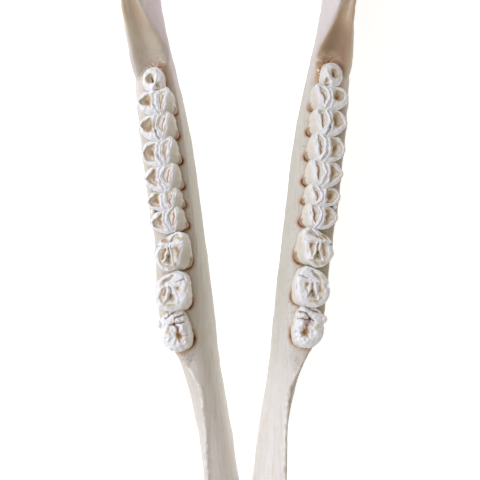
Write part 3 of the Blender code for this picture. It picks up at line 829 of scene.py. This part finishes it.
def pillar(name, lobe, place, radius, top):
    centre = placedOn(lobe, inMm(lobe, place)[None], 0)[0]
    half = (top + knobShape["deep"]) / 2
    middle = lobe["bone"] - knobShape["deep"] + half
    piece = ellipsoid(name, (centre[0], centre[1], middle), (radius, radius, half))
    points = getPoints(piece.data)
    below = lobe["bone"] + top - points[:, 2]
    points[:, 0] -= knobShape["lean"] * np.maximum(below - knobShape["belowTop"], 0)
    setPoints(piece.data, points)
    places = getPoints(piece.data)
    down = smoothStep(-1.5, -5, places[:, 2] - places[:, 2].max())
    return piece, places, np.column_stack((0.05 + 0.35 * down, 0.05 + 0.15 * down, 0 * down))


def toothFrom(name, parts):
    # one tooth from its lobes, each with the places and colours that it was shaped from
    pieces, places, colours = zip(*parts)
    made = pieces[0]
    made.name = name
    if len(pieces) > 1:
        made = combined(made, "UNION", pieces[1:])
        keepLargest(made)
    paintFrom(made.data, np.vstack(places), np.vstack(colours))
    made.data.name = name
    return made


def cheekTooth(tooth, side, vary):
    name = f"{tooth['name']}_{side}"
    lobes = list(lobesOf(tooth, side))
    parts = [crownLobe(f"{name}_lobe_{i}", lobe, vary) for i, lobe in enumerate(lobes)]
    if tooth["name"] in knobs:
        which, place, radius, top = knobs[tooth["name"]]
        parts.append(pillar(f"{name}_knob", lobes[which], place, radius, top))
    return toothFrom(name, parts)


# Front teeth: where each root starts and its tip ends, measured out from the centre of the fan on Y and Z.
# wide, deep: shares of the crown's width and thickness from the root (-0.1) to the edge (1).
fan = {
    "centre": (-189, 43), "root": (21, 30), "tip": (42, 50), "rise": 9, "thick": 5.2, "stray": 0.6,
    "around": 36, "rings": 40,
    "wide": ((-0.1, 0.35), (0.3, 0.5), (0.5, 0.72), (0.7, 0.96), (0.88, 1.0), (0.96, 0.94), (1.0, 0.8)),
    "deep": ((-0.1, 0.7), (0.3, 1), (0.5, 1), (0.7, 0.8), (0.88, 0.5), (0.96, 0.34), (1.0, 0.2)),
    "hollow": 1.1,
}
# angle from straight ahead, crown width and share of the longest reach of each lobe
frontTeeth = (
    ("i1", ((9.5, 13.6, 1.0),)),
    ("i2", ((27.5, 13.6, 0.99),)),
    ("i3", ((44.5, 13.0, 0.97),)),
    ("canine", ((61, 12.4, 0.98), (74, 10.4, 0.9))),
)


def spade(name, angle, width, reach, vary):
    angle = math.radians(angle + vary.uniform(-fan["stray"], fan["stray"]))
    out = np.array((math.sin(angle), -math.cos(angle)))
    side = np.array((math.cos(angle), math.sin(angle)))
    centreY, centreZ = fan["centre"]
    start, tip = (out * fan[k] * (1 if k == "root" else reach) + (0, centreY) for k in ("root", "tip"))
    turn = np.arange(fan["around"]) / fan["around"] * 2 * math.pi
    rings, colours = [], []
    for way in np.linspace(-0.1, 1, fan["rings"]):
        wide = readLine(fan["wide"], way) * width / 2
        deep = readLine(fan["deep"], way) * fan["thick"] / 2
        middle = start + (tip - start) * way
        z = centreZ + fan["rise"] * max(0.0, way) ** 1.5
        cup = fan["hollow"] * float(smoothStep(0.45, 0.8, way)) * (1 - np.cos(turn) ** 2) * (np.sin(turn) > 0)
        across = np.sign(np.cos(turn)) * np.abs(np.cos(turn)) ** 0.9 * wide
        flat = middle + across[:, None] * side
        rings.append(np.column_stack((flat, z + np.sin(turn) * deep - cup)))
        neck = 1 - float(smoothStep(0.3, 0.55, way))
        edge = float(smoothStep(0.95, 1.0, way))
        paint = (0.15 + 0.8 * neck, 0.5 * neck + 0.4 * edge, 0.35 * neck**2)
        colours.append(np.tile(paint, (fan["around"], 1)))
    rings = np.array(rings)
    piece = pulledSphere(name, rings)
    wrinkle(piece.data, vary)
    return piece, rings.reshape(-1, 3), np.array(colours).reshape(-1, 3)


# Tooth sockets: gap round the neck, more of it (least, most) on the tongue side, and rings as (more, height)
socket = {
    "open": 0.1, "gaps": (0.5, 1.1),
    "rings": ((-3.0, -5.0), (-0.6, -2.4), (0.1, 0.3), (0.6, 1.2), (2.6, 5.0)),
}


def socketCutter(name, lobe, gap):
    # a little wider than the tooth's neck, most at its front on the tongue side, and flared at the bone's top
    neck, away, crescent = neckLine(lobe, 4)
    wide = (socket["open"] + gap * crescent)[:, None]
    rings = [placedOn(lobe, neck + away * (wide + more), lobe["bone"] + z) for more, z in socket["rings"]]
    return pulledSphere(name, np.array(rings))


# openings for nerves and vessels
foramina = (
    {"centre": (21.5, -142, 31), "radii": (3.2, 6.0, 3.0)},
    {"centre": (24.2, -96, 30), "radii": (1.4, 2.2, 1.2)},
    {"centre": (53.2, 166, 84), "radii": (3.4, 4.6, 6.5)},
    {"centre": (25.2, 18, 31), "radii": (1.2, 1.3, 0.8)},
    {"centre": (27.4, 47, 27), "radii": (1.0, 1.0, 0.6)},
    {"centre": (34.2, 88, 36), "radii": (1.0, 1.2, 0.7)},
)


# Unevenness of the bone: length of its waves (on X, Y and Z, or on all), height and own place in the noise
unevenness = {
    "wide": (9.0, 0.3, 0),
    "fine": (3.2, 0.1, 1),
    "grain": ((2.0, 26.0, 2.0), 0.16, 2),
    "upright": ((2.5, 3.0, 22.0), 0.14, 4),
    "angle": ((4.5, 4.5, 4.5), 0.7, 5),
    "crumbs": (2.1, 1.0, 9),
    "beads": ((3, 7, 3), 0.7, 10),
}
# Places on the bone, as (centre, radii), where a radius of 0 leaves its axis out
spots = {
    "muscleHollow": ((0, 182, 88), (0, 24, 30)),
    "dish": ((30.5, -45, 0), (4, 6, 0)),
    "stainAhead": ((31.5, -44, 0), (4, 6, 0)),
    "crumbling": ((46, 122, 66), (7, 8, 9)),
}
boneRelief = {
    "ramusFrom": (110, 140),  # from here its grain turns upright
    "rootSwell": 0.55, "rootHalf": 3.6,  # roots swell the cheek side a little
    "muscleHollow": 1.7, "muscleLines": 0.45, "dish": 0.9,
    "ridgeOut": ((-60, 0), (-50, 1.8), (-40, 5.5)), "ridgeHalf": 1.3,  # how far out from the crest it lies
}


def uneven(name, points, seed):
    size, height, own = unevenness[name]
    return noiseAt(points / size, seed + own) * height


def inSpot(name, points):
    # 1 in the middle of the place, fading out over its radii
    centre, radii = spots[name]
    return np.exp(-sum(((points[:, i] - centre[i]) / radii[i]) ** 2 for i in range(3) if radii[i]))


def ridgeOf(points, normals, side):
    # where a crumbling ridge runs forward from the outer corner of the first cheek tooth
    x, y = points[:, 0], points[:, 1]
    off = x - boneLine("crestX", y, side) - readLine(boneRelief["ridgeOut"], y)
    along = smoothStep(-38, -48, y) * smoothStep(-150, -110, y)
    return fade(off, boneRelief["ridgeHalf"]) * along * smoothStep(0.1, 0.5, normals[:, 2])


def relief(points, normals, seed, lobes, side):
    x, y, z = points.T
    drop = readLine(jawBone["crestZ"], y) - z
    lift = uneven("wide", points, seed) + uneven("fine", points, seed)
    front, back = boneRelief["ramusFrom"]
    lift += uneven("grain", points, seed) * smoothStep(back, front, y)
    lift += uneven("upright", points, seed) * smoothStep(front, back, y)
    outside = smoothStep(2, 8, x - boneLine("crestX", y, side)) * smoothStep(0, 0.5, normals[:, 0])
    window = smoothStep(24, 15, drop) * smoothStep(0, 4, drop)
    for lobe in lobes:
        lift += boneRelief["rootSwell"] * outside * window * fade(y - lobe["y"], boneRelief["rootHalf"])
    lateral = smoothStep(0.2, 0.8, normals[:, 0])
    lift -= boneRelief["muscleHollow"] * lateral * inSpot("muscleHollow", points)
    # lines where the chewing muscle held on, fanning up from the angle, which is rough
    held = lateral * smoothStep(146, 172, y) * smoothStep(100, 64, z)
    fanned = np.column_stack(((y - 0.8 * z) / 5.5, (0.8 * y + z) / 38, x / 9))
    lift += boneRelief["muscleLines"] * held * noiseAt(fanned, seed + 6)
    lift += uneven("angle", points, seed) * smoothStep(178, 205, y) * smoothStep(70, 40, z)
    crumbling = 0.5 + uneven("crumbs", points, seed) + uneven("beads", points, seed)
    lift += ridgeOf(points, normals, side) * crumbling
    return lift - boneRelief["dish"] * inSpot("dish", points) * smoothStep(0.3, 0.7, normals[:, 2])


def boneHalf(side, lobes, seed):
    setup = jawBone
    front, back = setup["crestX"][0][0], setup["crestX"][-1][0]
    body = np.array([bodySection(y, side) for y in np.linspace(front, back, setup["sections"])])
    pieces = [pulledSphere("body", body)]
    for name, blade in (("ramus", ramus), ("coronoid", coronoid), ("neck", condyleNeck)):
        sections = [bladeSection(blade, z) for z in np.linspace(*blade["heights"])]
        pieces.append(pulledSphere(name, np.array(sections)))
    pieces.append(ellipsoid("condyle", condyle["centre"], condyle["radii"], 48))
    bone = joined(f"bone_{side}", pieces)
    melt = bone.modifiers.new("melt", "REMESH")
    melt.mode = "VOXEL"
    melt.voxel_size = setup["voxel"] * mm
    ease = bone.modifiers.new("ease", "SMOOTH")
    ease.iterations = setup["smoothing"]
    bone = finished(bone)
    points, normals = getPoints(bone.data), getNormals(bone.data)
    points += normals * relief(points, normals, seed, lobes, side)[:, None]
    x, y, z = points.T
    leaning = smoothStep(50, 104, z) * smoothStep(100, 125, y) * smoothStep(40, 60, x)
    points[:, 0] -= apart[side]["lean"] * leaning
    setPoints(bone.data, points)
    vary, gaps = random.Random(seed), socket["gaps"]
    cutters = [socketCutter(f"socket_{i}", lobe, vary.uniform(*gaps)) for i, lobe in enumerate(lobes)]
    cutters += [ellipsoid(f"foramen_{i}", f["centre"], f["radii"]) for i, f in enumerate(foramina)]
    bone = combined(bone, "DIFFERENCE", cutters)
    work = bmesh.new()
    bmesh.ops.create_cube(work, size=1)
    low, high = Vector((setup["midlineGap"], -300, 0)) * mm, Vector((120, 300, 300)) * mm
    bmesh.ops.translate(work, vec=(0.5, 0.5, 0.5), verts=work.verts)
    bmesh.ops.scale(work, vec=high - low, verts=work.verts)
    bmesh.ops.translate(work, vec=low, verts=work.verts)
    bone = combined(bone, "INTERSECT", [objectFrom("room", work)])
    keepLargest(bone)
    paintBone(bone.data, lobes, seed, side)
    bone.data.name = bone.name
    return bone


# Brown stain round the sockets. reach, porousReach: how far from the neck it and the open pores fade. all:
# everywhere. crescent: more at each tooth's front on the tongue side. heel, first: more behind the last lobe
# and in front of the first. heelNear, firstNear: shares of the true distance there, so that it spreads.
socketStain = {
    "reach": 2.1, "porousReach": 6.0, "all": 0.28, "crescent": 1.4, "heel": 0.3, "heelNear": 0.5,
    "first": 0.3, "firstNear": 0.8, "ahead": 0.4, "behind": 0.12, "porousAhead": 0.6,
}


def socketsNear(points, lobes):
    # how near each place is to a tooth's neck, and how far it is in the stained crescent
    look, y, z = socketStain, points[:, 1], points[:, 2]
    near, front = np.full(len(points), 99.0), np.zeros(len(points))
    rowPart = (y > -50) & (y < 135) & (z > 30)
    for lobe in lobes:
        spot = rowPart & (np.abs(y - lobe["y"]) < lobe["length"] + 10)
        neck, _, _ = neckLine(lobe, 3)
        flat = flatOn(lobe, points[spot])
        away = distanceTo(neck, flat, True)
        along, across = (flat / (lobe["length"], lobe["width"])).T
        crescent = fade(along + 0.33, 0.2) * smoothStep(-0.1, -0.3, across)
        if lobe is lobes[-1]:
            crescent = look["heel"] * smoothStep(0.35, 0.05, across)
            away = away * look["heelNear"]
        if lobe is lobes[0]:
            crescent = np.maximum(crescent, look["first"] * smoothStep(-0.3, -0.5, along))
            away = away * look["firstNear"]
        closer = away < near[spot]
        near[spot] = np.where(closer, away, near[spot])
        front[spot] = np.where(closer, crescent, front[spot])
    below = np.maximum(readLine(jawBone["crestZ"], y) - z, 0)
    return np.hypot(near, below * 0.8), front


def ramusTanAndShade(points, normals, side):
    # the tan of the ramus, and the mauve that is painted shade on it. The ramus's front face lies between its
    # outer edge and the ridge that climbs from the last molar
    tint, (x, y, z) = apart[side], points.T
    blades = [
        (readLine(blade["frontX"], z), readLine(blade["frontThick"], z) / 2, readLine(blade["frontY"], z))
        for blade in (ramus, coronoid)
    ]
    frontX, halfThick, edgeY = np.where(z < 124, blades[0], blades[1])
    warm = smoothStep(*tint["tanBehind"], y) * smoothStep(*tint["tanFrom"], z) * smoothStep(170, 130, z)
    warm *= 1 - 0.65 * smoothStep(-7, -1, x - frontX - halfThick) * smoothStep(112, 92, z)
    warm *= smoothStep(-0.6, 3.2, x - frontX + halfThick) * smoothStep(16, 8, y - edgeY)
    warm *= smoothStep(-0.95, -0.75, normals[:, 0])
    # mauve painted shade on the faces turned in toward the middle, behind the row, and over the tan front
    # face
    mauveShade = smoothStep(-0.3, -0.8, normals[:, 0]) * smoothStep(105, 150, y)
    mauveShade = tint["mauveShade"] * np.maximum(mauveShade * (1 - warm), warm)
    return warm * (tint["tan"] + 0.6 * tint["deepTan"] * smoothStep(104, 86, z)), mauveShade


def paintBone(mesh, lobes, seed, side):
    # bone_wear has the stain round the sockets, the porous bone (over 1 where it crumbles behind the last
    # molar) and the tan of the ramus (over 1 where it is deepest). bone_shade_ridge has painted shade on the
    # outer side, the mauve painted shade of the ramus and the crumbling ridge.
    points, normals = getPoints(mesh), getNormals(mesh)
    look, y = socketStain, points[:, 1]
    near, front = socketsNear(points, lobes)
    patchy = 0.5 + 0.9 * noiseAt(points / 3.0, seed + 7) + 0.4 * noiseAt(points / 1.1, seed + 8)
    stain = fade(near, look["reach"]) * (look["all"] + look["crescent"] * front)
    stain *= np.clip(0.75 + patchy * 0.5, 0, 1.2)
    behind, ahead = inSpot("crumbling", points), inSpot("stainAhead", points)
    stain += (look["behind"] * behind + look["ahead"] * ahead) * np.clip(patchy, 0, 1)
    ridge = ridgeOf(points, normals, side) * np.clip(0.6 + noiseAt(points / (1.6, 3.0, 1.6), seed + 11), 0, 1)
    ragged = behind * np.clip(0.65 + 0.6 * patchy, 0, 1.2)
    porous = np.clip(fade(near, look["porousReach"]) + look["porousAhead"] * ahead, 0, 1)
    porous = porous * (1 - behind) + 2 * ragged
    warm, mauveShade = ramusTanAndShade(points, normals, side)
    setColours(mesh, "bone_wear", np.column_stack((np.clip(stain, 0, 1), porous, warm)))
    # painted shade: faces turned outward are darkened, fully on the half whose outer side faces away from the
    # key light, about half as much on the other
    outerShade = np.maximum(smoothStep(115, 150, y), 0.5 + 0.5 * smoothStep(-30, -50, y))
    outerShade *= apart[side]["outer"] * smoothStep(0.2, 0.7, normals[:, 0])
    setColours(mesh, "bone_shade_ridge", np.column_stack((outerShade, mauveShade, ridge)))


def hexColour(code):
    channels = [int(code[i : i + 2], 16) / 255 for i in (0, 2, 4)]
    return (*[c / 12.92 if c <= 0.04045 else ((c + 0.055) / 1.055) ** 2.4 for c in channels], 1)


def addNode(tree, kind, settings=None, links=None):
    # settings and links name a socket, or give its number, or name one of the node's own settings
    node = tree.nodes.new(kind)
    for name, value in (settings or {}).items():
        if isinstance(name, int) or name in node.inputs:
            node.inputs[name].default_value = value
        else:
            setattr(node, name, value)
    for name, source in (links or {}).items():
        tree.links.new(source, node.inputs[name])
    return node


def newMaterial(name, roughness, ior):
    material = bpy.data.materials.new(name)
    material.use_nodes = True
    tree = material.node_tree
    shader = tree.nodes["Principled BSDF"]
    shader.inputs["Roughness"].default_value = roughness
    shader.inputs["IOR"].default_value = ior
    return material, tree, shader


def patternsOf(tree, place, patterns):
    # noise of a size in millimetres, with its detail, its roughness and how far it is drawn out on each axis
    made = {}
    for name, (size, detail, roughness, drawn) in patterns.items():
        scale = [1000 / size / d for d in drawn]
        scaled = addNode(tree, "ShaderNodeMapping", {"Scale": scale}, {"Vector": place})
        settings = {"Scale": 1.0, "Detail": detail, "Roughness": roughness}
        pattern = addNode(tree, "ShaderNodeTexNoise", settings, {"Vector": scaled.outputs[0]})
        made[name] = pattern.outputs["Fac"]
    return made


def paintedOn(tree, name):
    # the three channels of a layer of paint
    layer = addNode(tree, "ShaderNodeAttribute", {"attribute_name": name})
    return addNode(tree, "ShaderNodeSeparateColor", {}, {"Color": layer.outputs["Color"]}).outputs


def layered(tree, look, colour, layers, how="MIX"):
    # each layer covers the ones before it where its mask is high: mask, low, high, share at high, colour
    for mask, low, high, share, cover in layers:
        limits = {"From Min": low, "From Max": high, "To Max": share}
        reach = addNode(tree, "ShaderNodeMapRange", limits, {"Value": mask})
        settings = {"data_type": "RGBA", "blend_type": how, 7: hexColour(look[cover])}
        mixed = addNode(tree, "ShaderNodeMix", settings, {0: reach.outputs[0], 6: colour})
        colour = mixed.outputs[2]
    return colour


boneLook = {
    # mauve and side are colours of painted shade, and worn is the colour of a painted highlight
    "pale": "F8F6F1", "grey": "E9E6E0", "pink": "EEE4DB", "streak": "D0C3B3",
    "row": "E5E5DF", "ramus": "EBE1E8", "mauveShade": "E7D8DD", "worn": "DED5C0", "side": "B4A999",
    "tan": "C8AB8C", "deepTan": "A4876E", "crumbled": "F0E6CE", "stain": "BA8344", "deepStain": "3C2415",
    "spot": "84705A", "fleck": "FFFDF4",
    "patterns": {
        "mottle": (34, 4, 0.55, (1, 1, 1)),
        "cloud": (15, 5, 0.55, (1, 1, 1)),
        "grain": (1.5, 3, 0.6, (1, 26, 1)),
        "upright": (1.8, 3, 0.6, (1, 2, 14)),
        "sparse": (9, 2, 0.55, (1, 1, 1)),
        "fleck": (2.2, 3, 0.7, (1, 1, 1)),
        "fine": (0.9, 4, 0.65, (1, 1, 1)),
    },
    "poreSpacing": 2.3, "poreSize": (0.24, 0.12), "crumbling": (1.0, 1.6),
    "roughness": 0.6, "ior": 1.5,
}


def boneMaterial():
    # simmered clean and dried: chalky and pale, with fine grain along it, warmer patches and small pores
    look = boneLook
    material, tree, shader = newMaterial("bone, cleaned and dried", look["roughness"], look["ior"])
    place = addNode(tree, "ShaderNodeTexCoord").outputs["Object"]
    stain, porous, warm = paintedOn(tree, "bone_wear")
    side, mauveShade, ridge = paintedOn(tree, "bone_shade_ridge")
    along = addNode(tree, "ShaderNodeSeparateXYZ", {}, {"Vector": place}).outputs["Y"]
    made = patternsOf(tree, place, look["patterns"])
    cells = addNode(tree, "ShaderNodeTexVoronoi", {"Scale": 1000 / look["poreSpacing"]}, {"Vector": place})
    limits = dict(zip(("From Min", "From Max"), look["poreSize"]))
    dots = addNode(tree, "ShaderNodeMapRange", limits, {"Value": cells.outputs["Distance"]}).outputs[0]
    limits = dict(zip(("From Min", "From Max"), look["crumbling"]))
    crumbled = addNode(tree, "ShaderNodeMapRange", limits, {"Value": porous}).outputs[0]
    few, many, sideStreaks, flecks = (
        addNode(tree, "ShaderNodeMath", {"operation": "MULTIPLY"}, {0: first, 1: second}).outputs[0]
        for first, second in (
            (dots, made["sparse"]), (dots, porous), (side, made["upright"]), (crumbled, made["fleck"]),
        )
    )
    settings = {"data_type": "RGBA", 6: hexColour(look["pale"]), 7: hexColour(look["grey"])}
    base = addNode(tree, "ShaderNodeMix", settings, {0: made["mottle"]})
    colour = layered(tree, look, base.outputs[2], (
        (made["cloud"], 0.52, 0.72, 0.55, "pink"),
        (made["grain"], 0.52, 0.7, 0.45, "streak"),
        (made["upright"], 0.56, 0.78, 0.25, "streak"),
    ))
    # the bone under the cheek teeth is darker than the bone in front of them, and on one half the ramus has
    # mauve painted shade
    colour = layered(tree, look, colour, (
        (along, -0.09, 0.0, 1.0, "row"),
        (mauveShade, 0.0, 1.0, 1.0, "mauveShade"),
    ), "MULTIPLY")
    colour = layered(tree, look, colour, (
        (along, 0.095, 0.14, 0.55, "ramus"),
        # painted shade darkening the outer faces, and grain streaks drawn on them
        (side, 0.0, 1.0, 0.8, "side"),
        (sideStreaks, 0.45, 0.75, 0.5, "streak"),
        # a pale band where the tan fades out round the ramus's front face: painted highlight along its ridge
        # and edges
        (warm, 0.05, 0.3, 0.85, "worn"),
        (warm, 0.5, 1.0, 0.85, "tan"),
        (warm, 1.0, 1.6, 0.8, "deepTan"),
        (ridge, 0.2, 0.8, 0.7, "fleck"),
        (porous, 0.9, 1.7, 0.5, "crumbled"),
        (few, 0.6, 0.75, 0.5, "spot"),
        (many, 0.2, 1.0, 0.25, "spot"),
        (stain, 0.1, 0.7, 0.85, "stain"),
        (stain, 0.65, 1.0, 0.85, "deepStain"),
        (flecks, 0.52, 0.6, 0.85, "fleck"),
    ))
    tree.links.new(colour, shader.inputs["Base Color"])
    bump = None
    for height, strength, depth in (
        (made["fine"], 0.35, 0.0004), (made["grain"], 0.45, 0.0005), (few, -0.5, 0.0005),
        (many, -0.4, 0.0004), (flecks, 0.5, 0.0004),
    ):
        links = {"Height": height} if bump is None else {"Height": height, "Normal": bump}
        settings = {"Strength": abs(strength), "Distance": depth, "invert": strength < 0}
        bump = addNode(tree, "ShaderNodeBump", settings, links).outputs["Normal"]
    tree.links.new(bump, shader.inputs["Normal"])
    return material


enamelLook = {
    "white": "F4F6F8", "cream": "DCD4BF", "tan": "B09C78", "orange": "A66A32", "dark": "40332C",
    "patterns": {
        "mottle": (3.0, 3, 0.55, (1, 1, 1)),
        "crumb": (0.8, 2, 0.6, (1, 1, 1)),
        "fine": (0.7, 3, 0.6, (1, 1, 2.5)),
    },
    "roughness": 0.36, "ior": 1.62,
}


def enamelMaterial():
    # ground by chewing: glossy white ridges of enamel round khaki hollows of dentine, with brown in the folds
    look, name = enamelLook, "tooth enamel worn through to dentine"
    material, tree, shader = newMaterial(name, look["roughness"], look["ior"])
    place = addNode(tree, "ShaderNodeTexCoord").outputs["Object"]
    tan, orange, dark = paintedOn(tree, "wear")
    made = patternsOf(tree, place, look["patterns"])
    # where the hollow is tan its darkest parts are crumbs of stain
    creamy, crumbs, crumbly = (
        addNode(
            tree, "ShaderNodeMapRange", {"From Min": low, "From Max": high, "To Max": most}, {"Value": mask}
        )
        for mask, low, high, most in (
            (made["mottle"], 0.5, 0.8, 0.3), (made["crumb"], 0.44, 0.56, 1.0), (tan, 0.6, 0.95, 1.0),
        )
    )
    settings = {"data_type": "RGBA", 6: hexColour(look["white"]), 7: hexColour(look["cream"])}
    base = addNode(tree, "ShaderNodeMix", settings, {0: creamy.outputs[0]})
    shown = addNode(tree, "ShaderNodeMix", {2: 1.0}, {0: crumbly.outputs[0], 3: crumbs.outputs[0]})
    dark = addNode(tree, "ShaderNodeMath", {"operation": "MULTIPLY"}, {0: dark, 1: shown.outputs[0]})
    colour = layered(tree, look, base.outputs[2], (
        (tan, 0.05, 0.5, 1.0, "cream"),
        (tan, 0.5, 1.0, 0.85, "tan"),
        (orange, 0.12, 0.85, 0.85, "orange"),
        (dark.outputs[0], 0.2, 0.9, 0.9, "dark"),
    ))
    tree.links.new(colour, shader.inputs["Base Color"])
    bump = addNode(tree, "ShaderNodeBump", {"Strength": 0.3, "Distance": 0.0003}, {"Height": made["fine"]})
    tree.links.new(bump.outputs["Normal"], shader.inputs["Normal"])
    return material


def dress(piece, material, node, side):
    if side == "right":
        setPoints(piece.data, getPoints(piece.data) * (-1, 1, 1))
        piece.data.flip_normals()
    piece.data.materials.clear()
    piece.data.materials.append(material)
    piece.data.shade_smooth()
    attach(piece, "root")
    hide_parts(node)


bone, enamel = boneMaterial(), enamelMaterial()
for side, seed in (("left", 3), ("right", 8)):
    vary = random.Random(seed)
    lobes = [lobe for tooth in cheekTeeth for lobe in lobesOf(tooth, side)]
    node = f"mandible_{side}"
    dress(boneHalf(side, lobes, seed), bone, node, side)
    print("bone", side)
    for tooth in cheekTeeth:
        dress(cheekTooth(tooth, side, vary), enamel, node, side)
    for name, parts in frontTeeth:
        name = f"{name}_{side}"
        spades = [spade(f"{name}_{i}", *part, vary) for i, part in enumerate(parts)]
        dress(toothFrom(name, spades), enamel, node, side)
    print("teeth", side)

studio = {
    "floorHalf": 4.0, "floor": "BCBCBC", "floorGlow": 0.83,
    "key": {"place": (-1.0, 0.22, 1.08), "size": 2.2, "watts": 28.5, "colour": "EEF2FF"},
    "fill": {"place": (0.8, -0.5, 1.1), "size": 1.4, "watts": 0.6, "colour": "FFF6EE"},
    "sky": "FFEDD9", "skyStrength": 0.3,
    "aim": (0, 0.02, 0.05),
}


def addLight(name, place, size, watts, colour):
    data = bpy.data.lights.new(name, "AREA")
    data.size = size
    data.energy = watts
    data.color = hexColour(colour)[:3]
    light = bpy.data.objects.new(name, data)
    bpy.context.scene.collection.objects.link(light)
    light.location = place
    light.rotation_euler = (Vector(studio["aim"]) - Vector(place)).to_track_quat("-Z", "Y").to_euler()


work = bmesh.new()
bmesh.ops.create_grid(work, x_segments=2, y_segments=2, size=studio["floorHalf"])
floor = objectFrom("floor", work)
opal, _, opalShader = newMaterial("opal acrylic of a light table", 0.9, 1.45)
# it glows evenly, so that the jaw's shadows on it are faint
opalShader.inputs["Base Color"].default_value = hexColour(studio["floor"])
opalShader.inputs["Emission Color"].default_value = (1, 1, 1, 1)
opalShader.inputs["Emission Strength"].default_value = studio["floorGlow"]
floor.data.materials.append(opal)
addLight("key", **studio["key"])
addLight("fill", **studio["fill"])
world = bpy.data.worlds.new("soft sky")
world.use_nodes = True
background = world.node_tree.nodes["Background"]
background.inputs["Color"].default_value = hexColour(studio["sky"])
background.inputs["Strength"].default_value = studio["skyStrength"]
bpy.context.scene.world = world
bpy.context.scene.view_settings.view_transform = "Standard"

view = {"place": (-2.1, 25, 690), "lens": 84.5, "roll": -0.5}
cameraData = bpy.data.cameras.new("camera")
cameraData.lens = view["lens"]
cameraData.sensor_width = 36
camera = bpy.data.objects.new("camera", cameraData)
bpy.context.scene.collection.objects.link(camera)
camera.location = Vector(view["place"]) * mm
camera.rotation_euler = (0, 0, math.radians(view["roll"]))
bpy.context.scene.camera = camera
print("studio and camera")
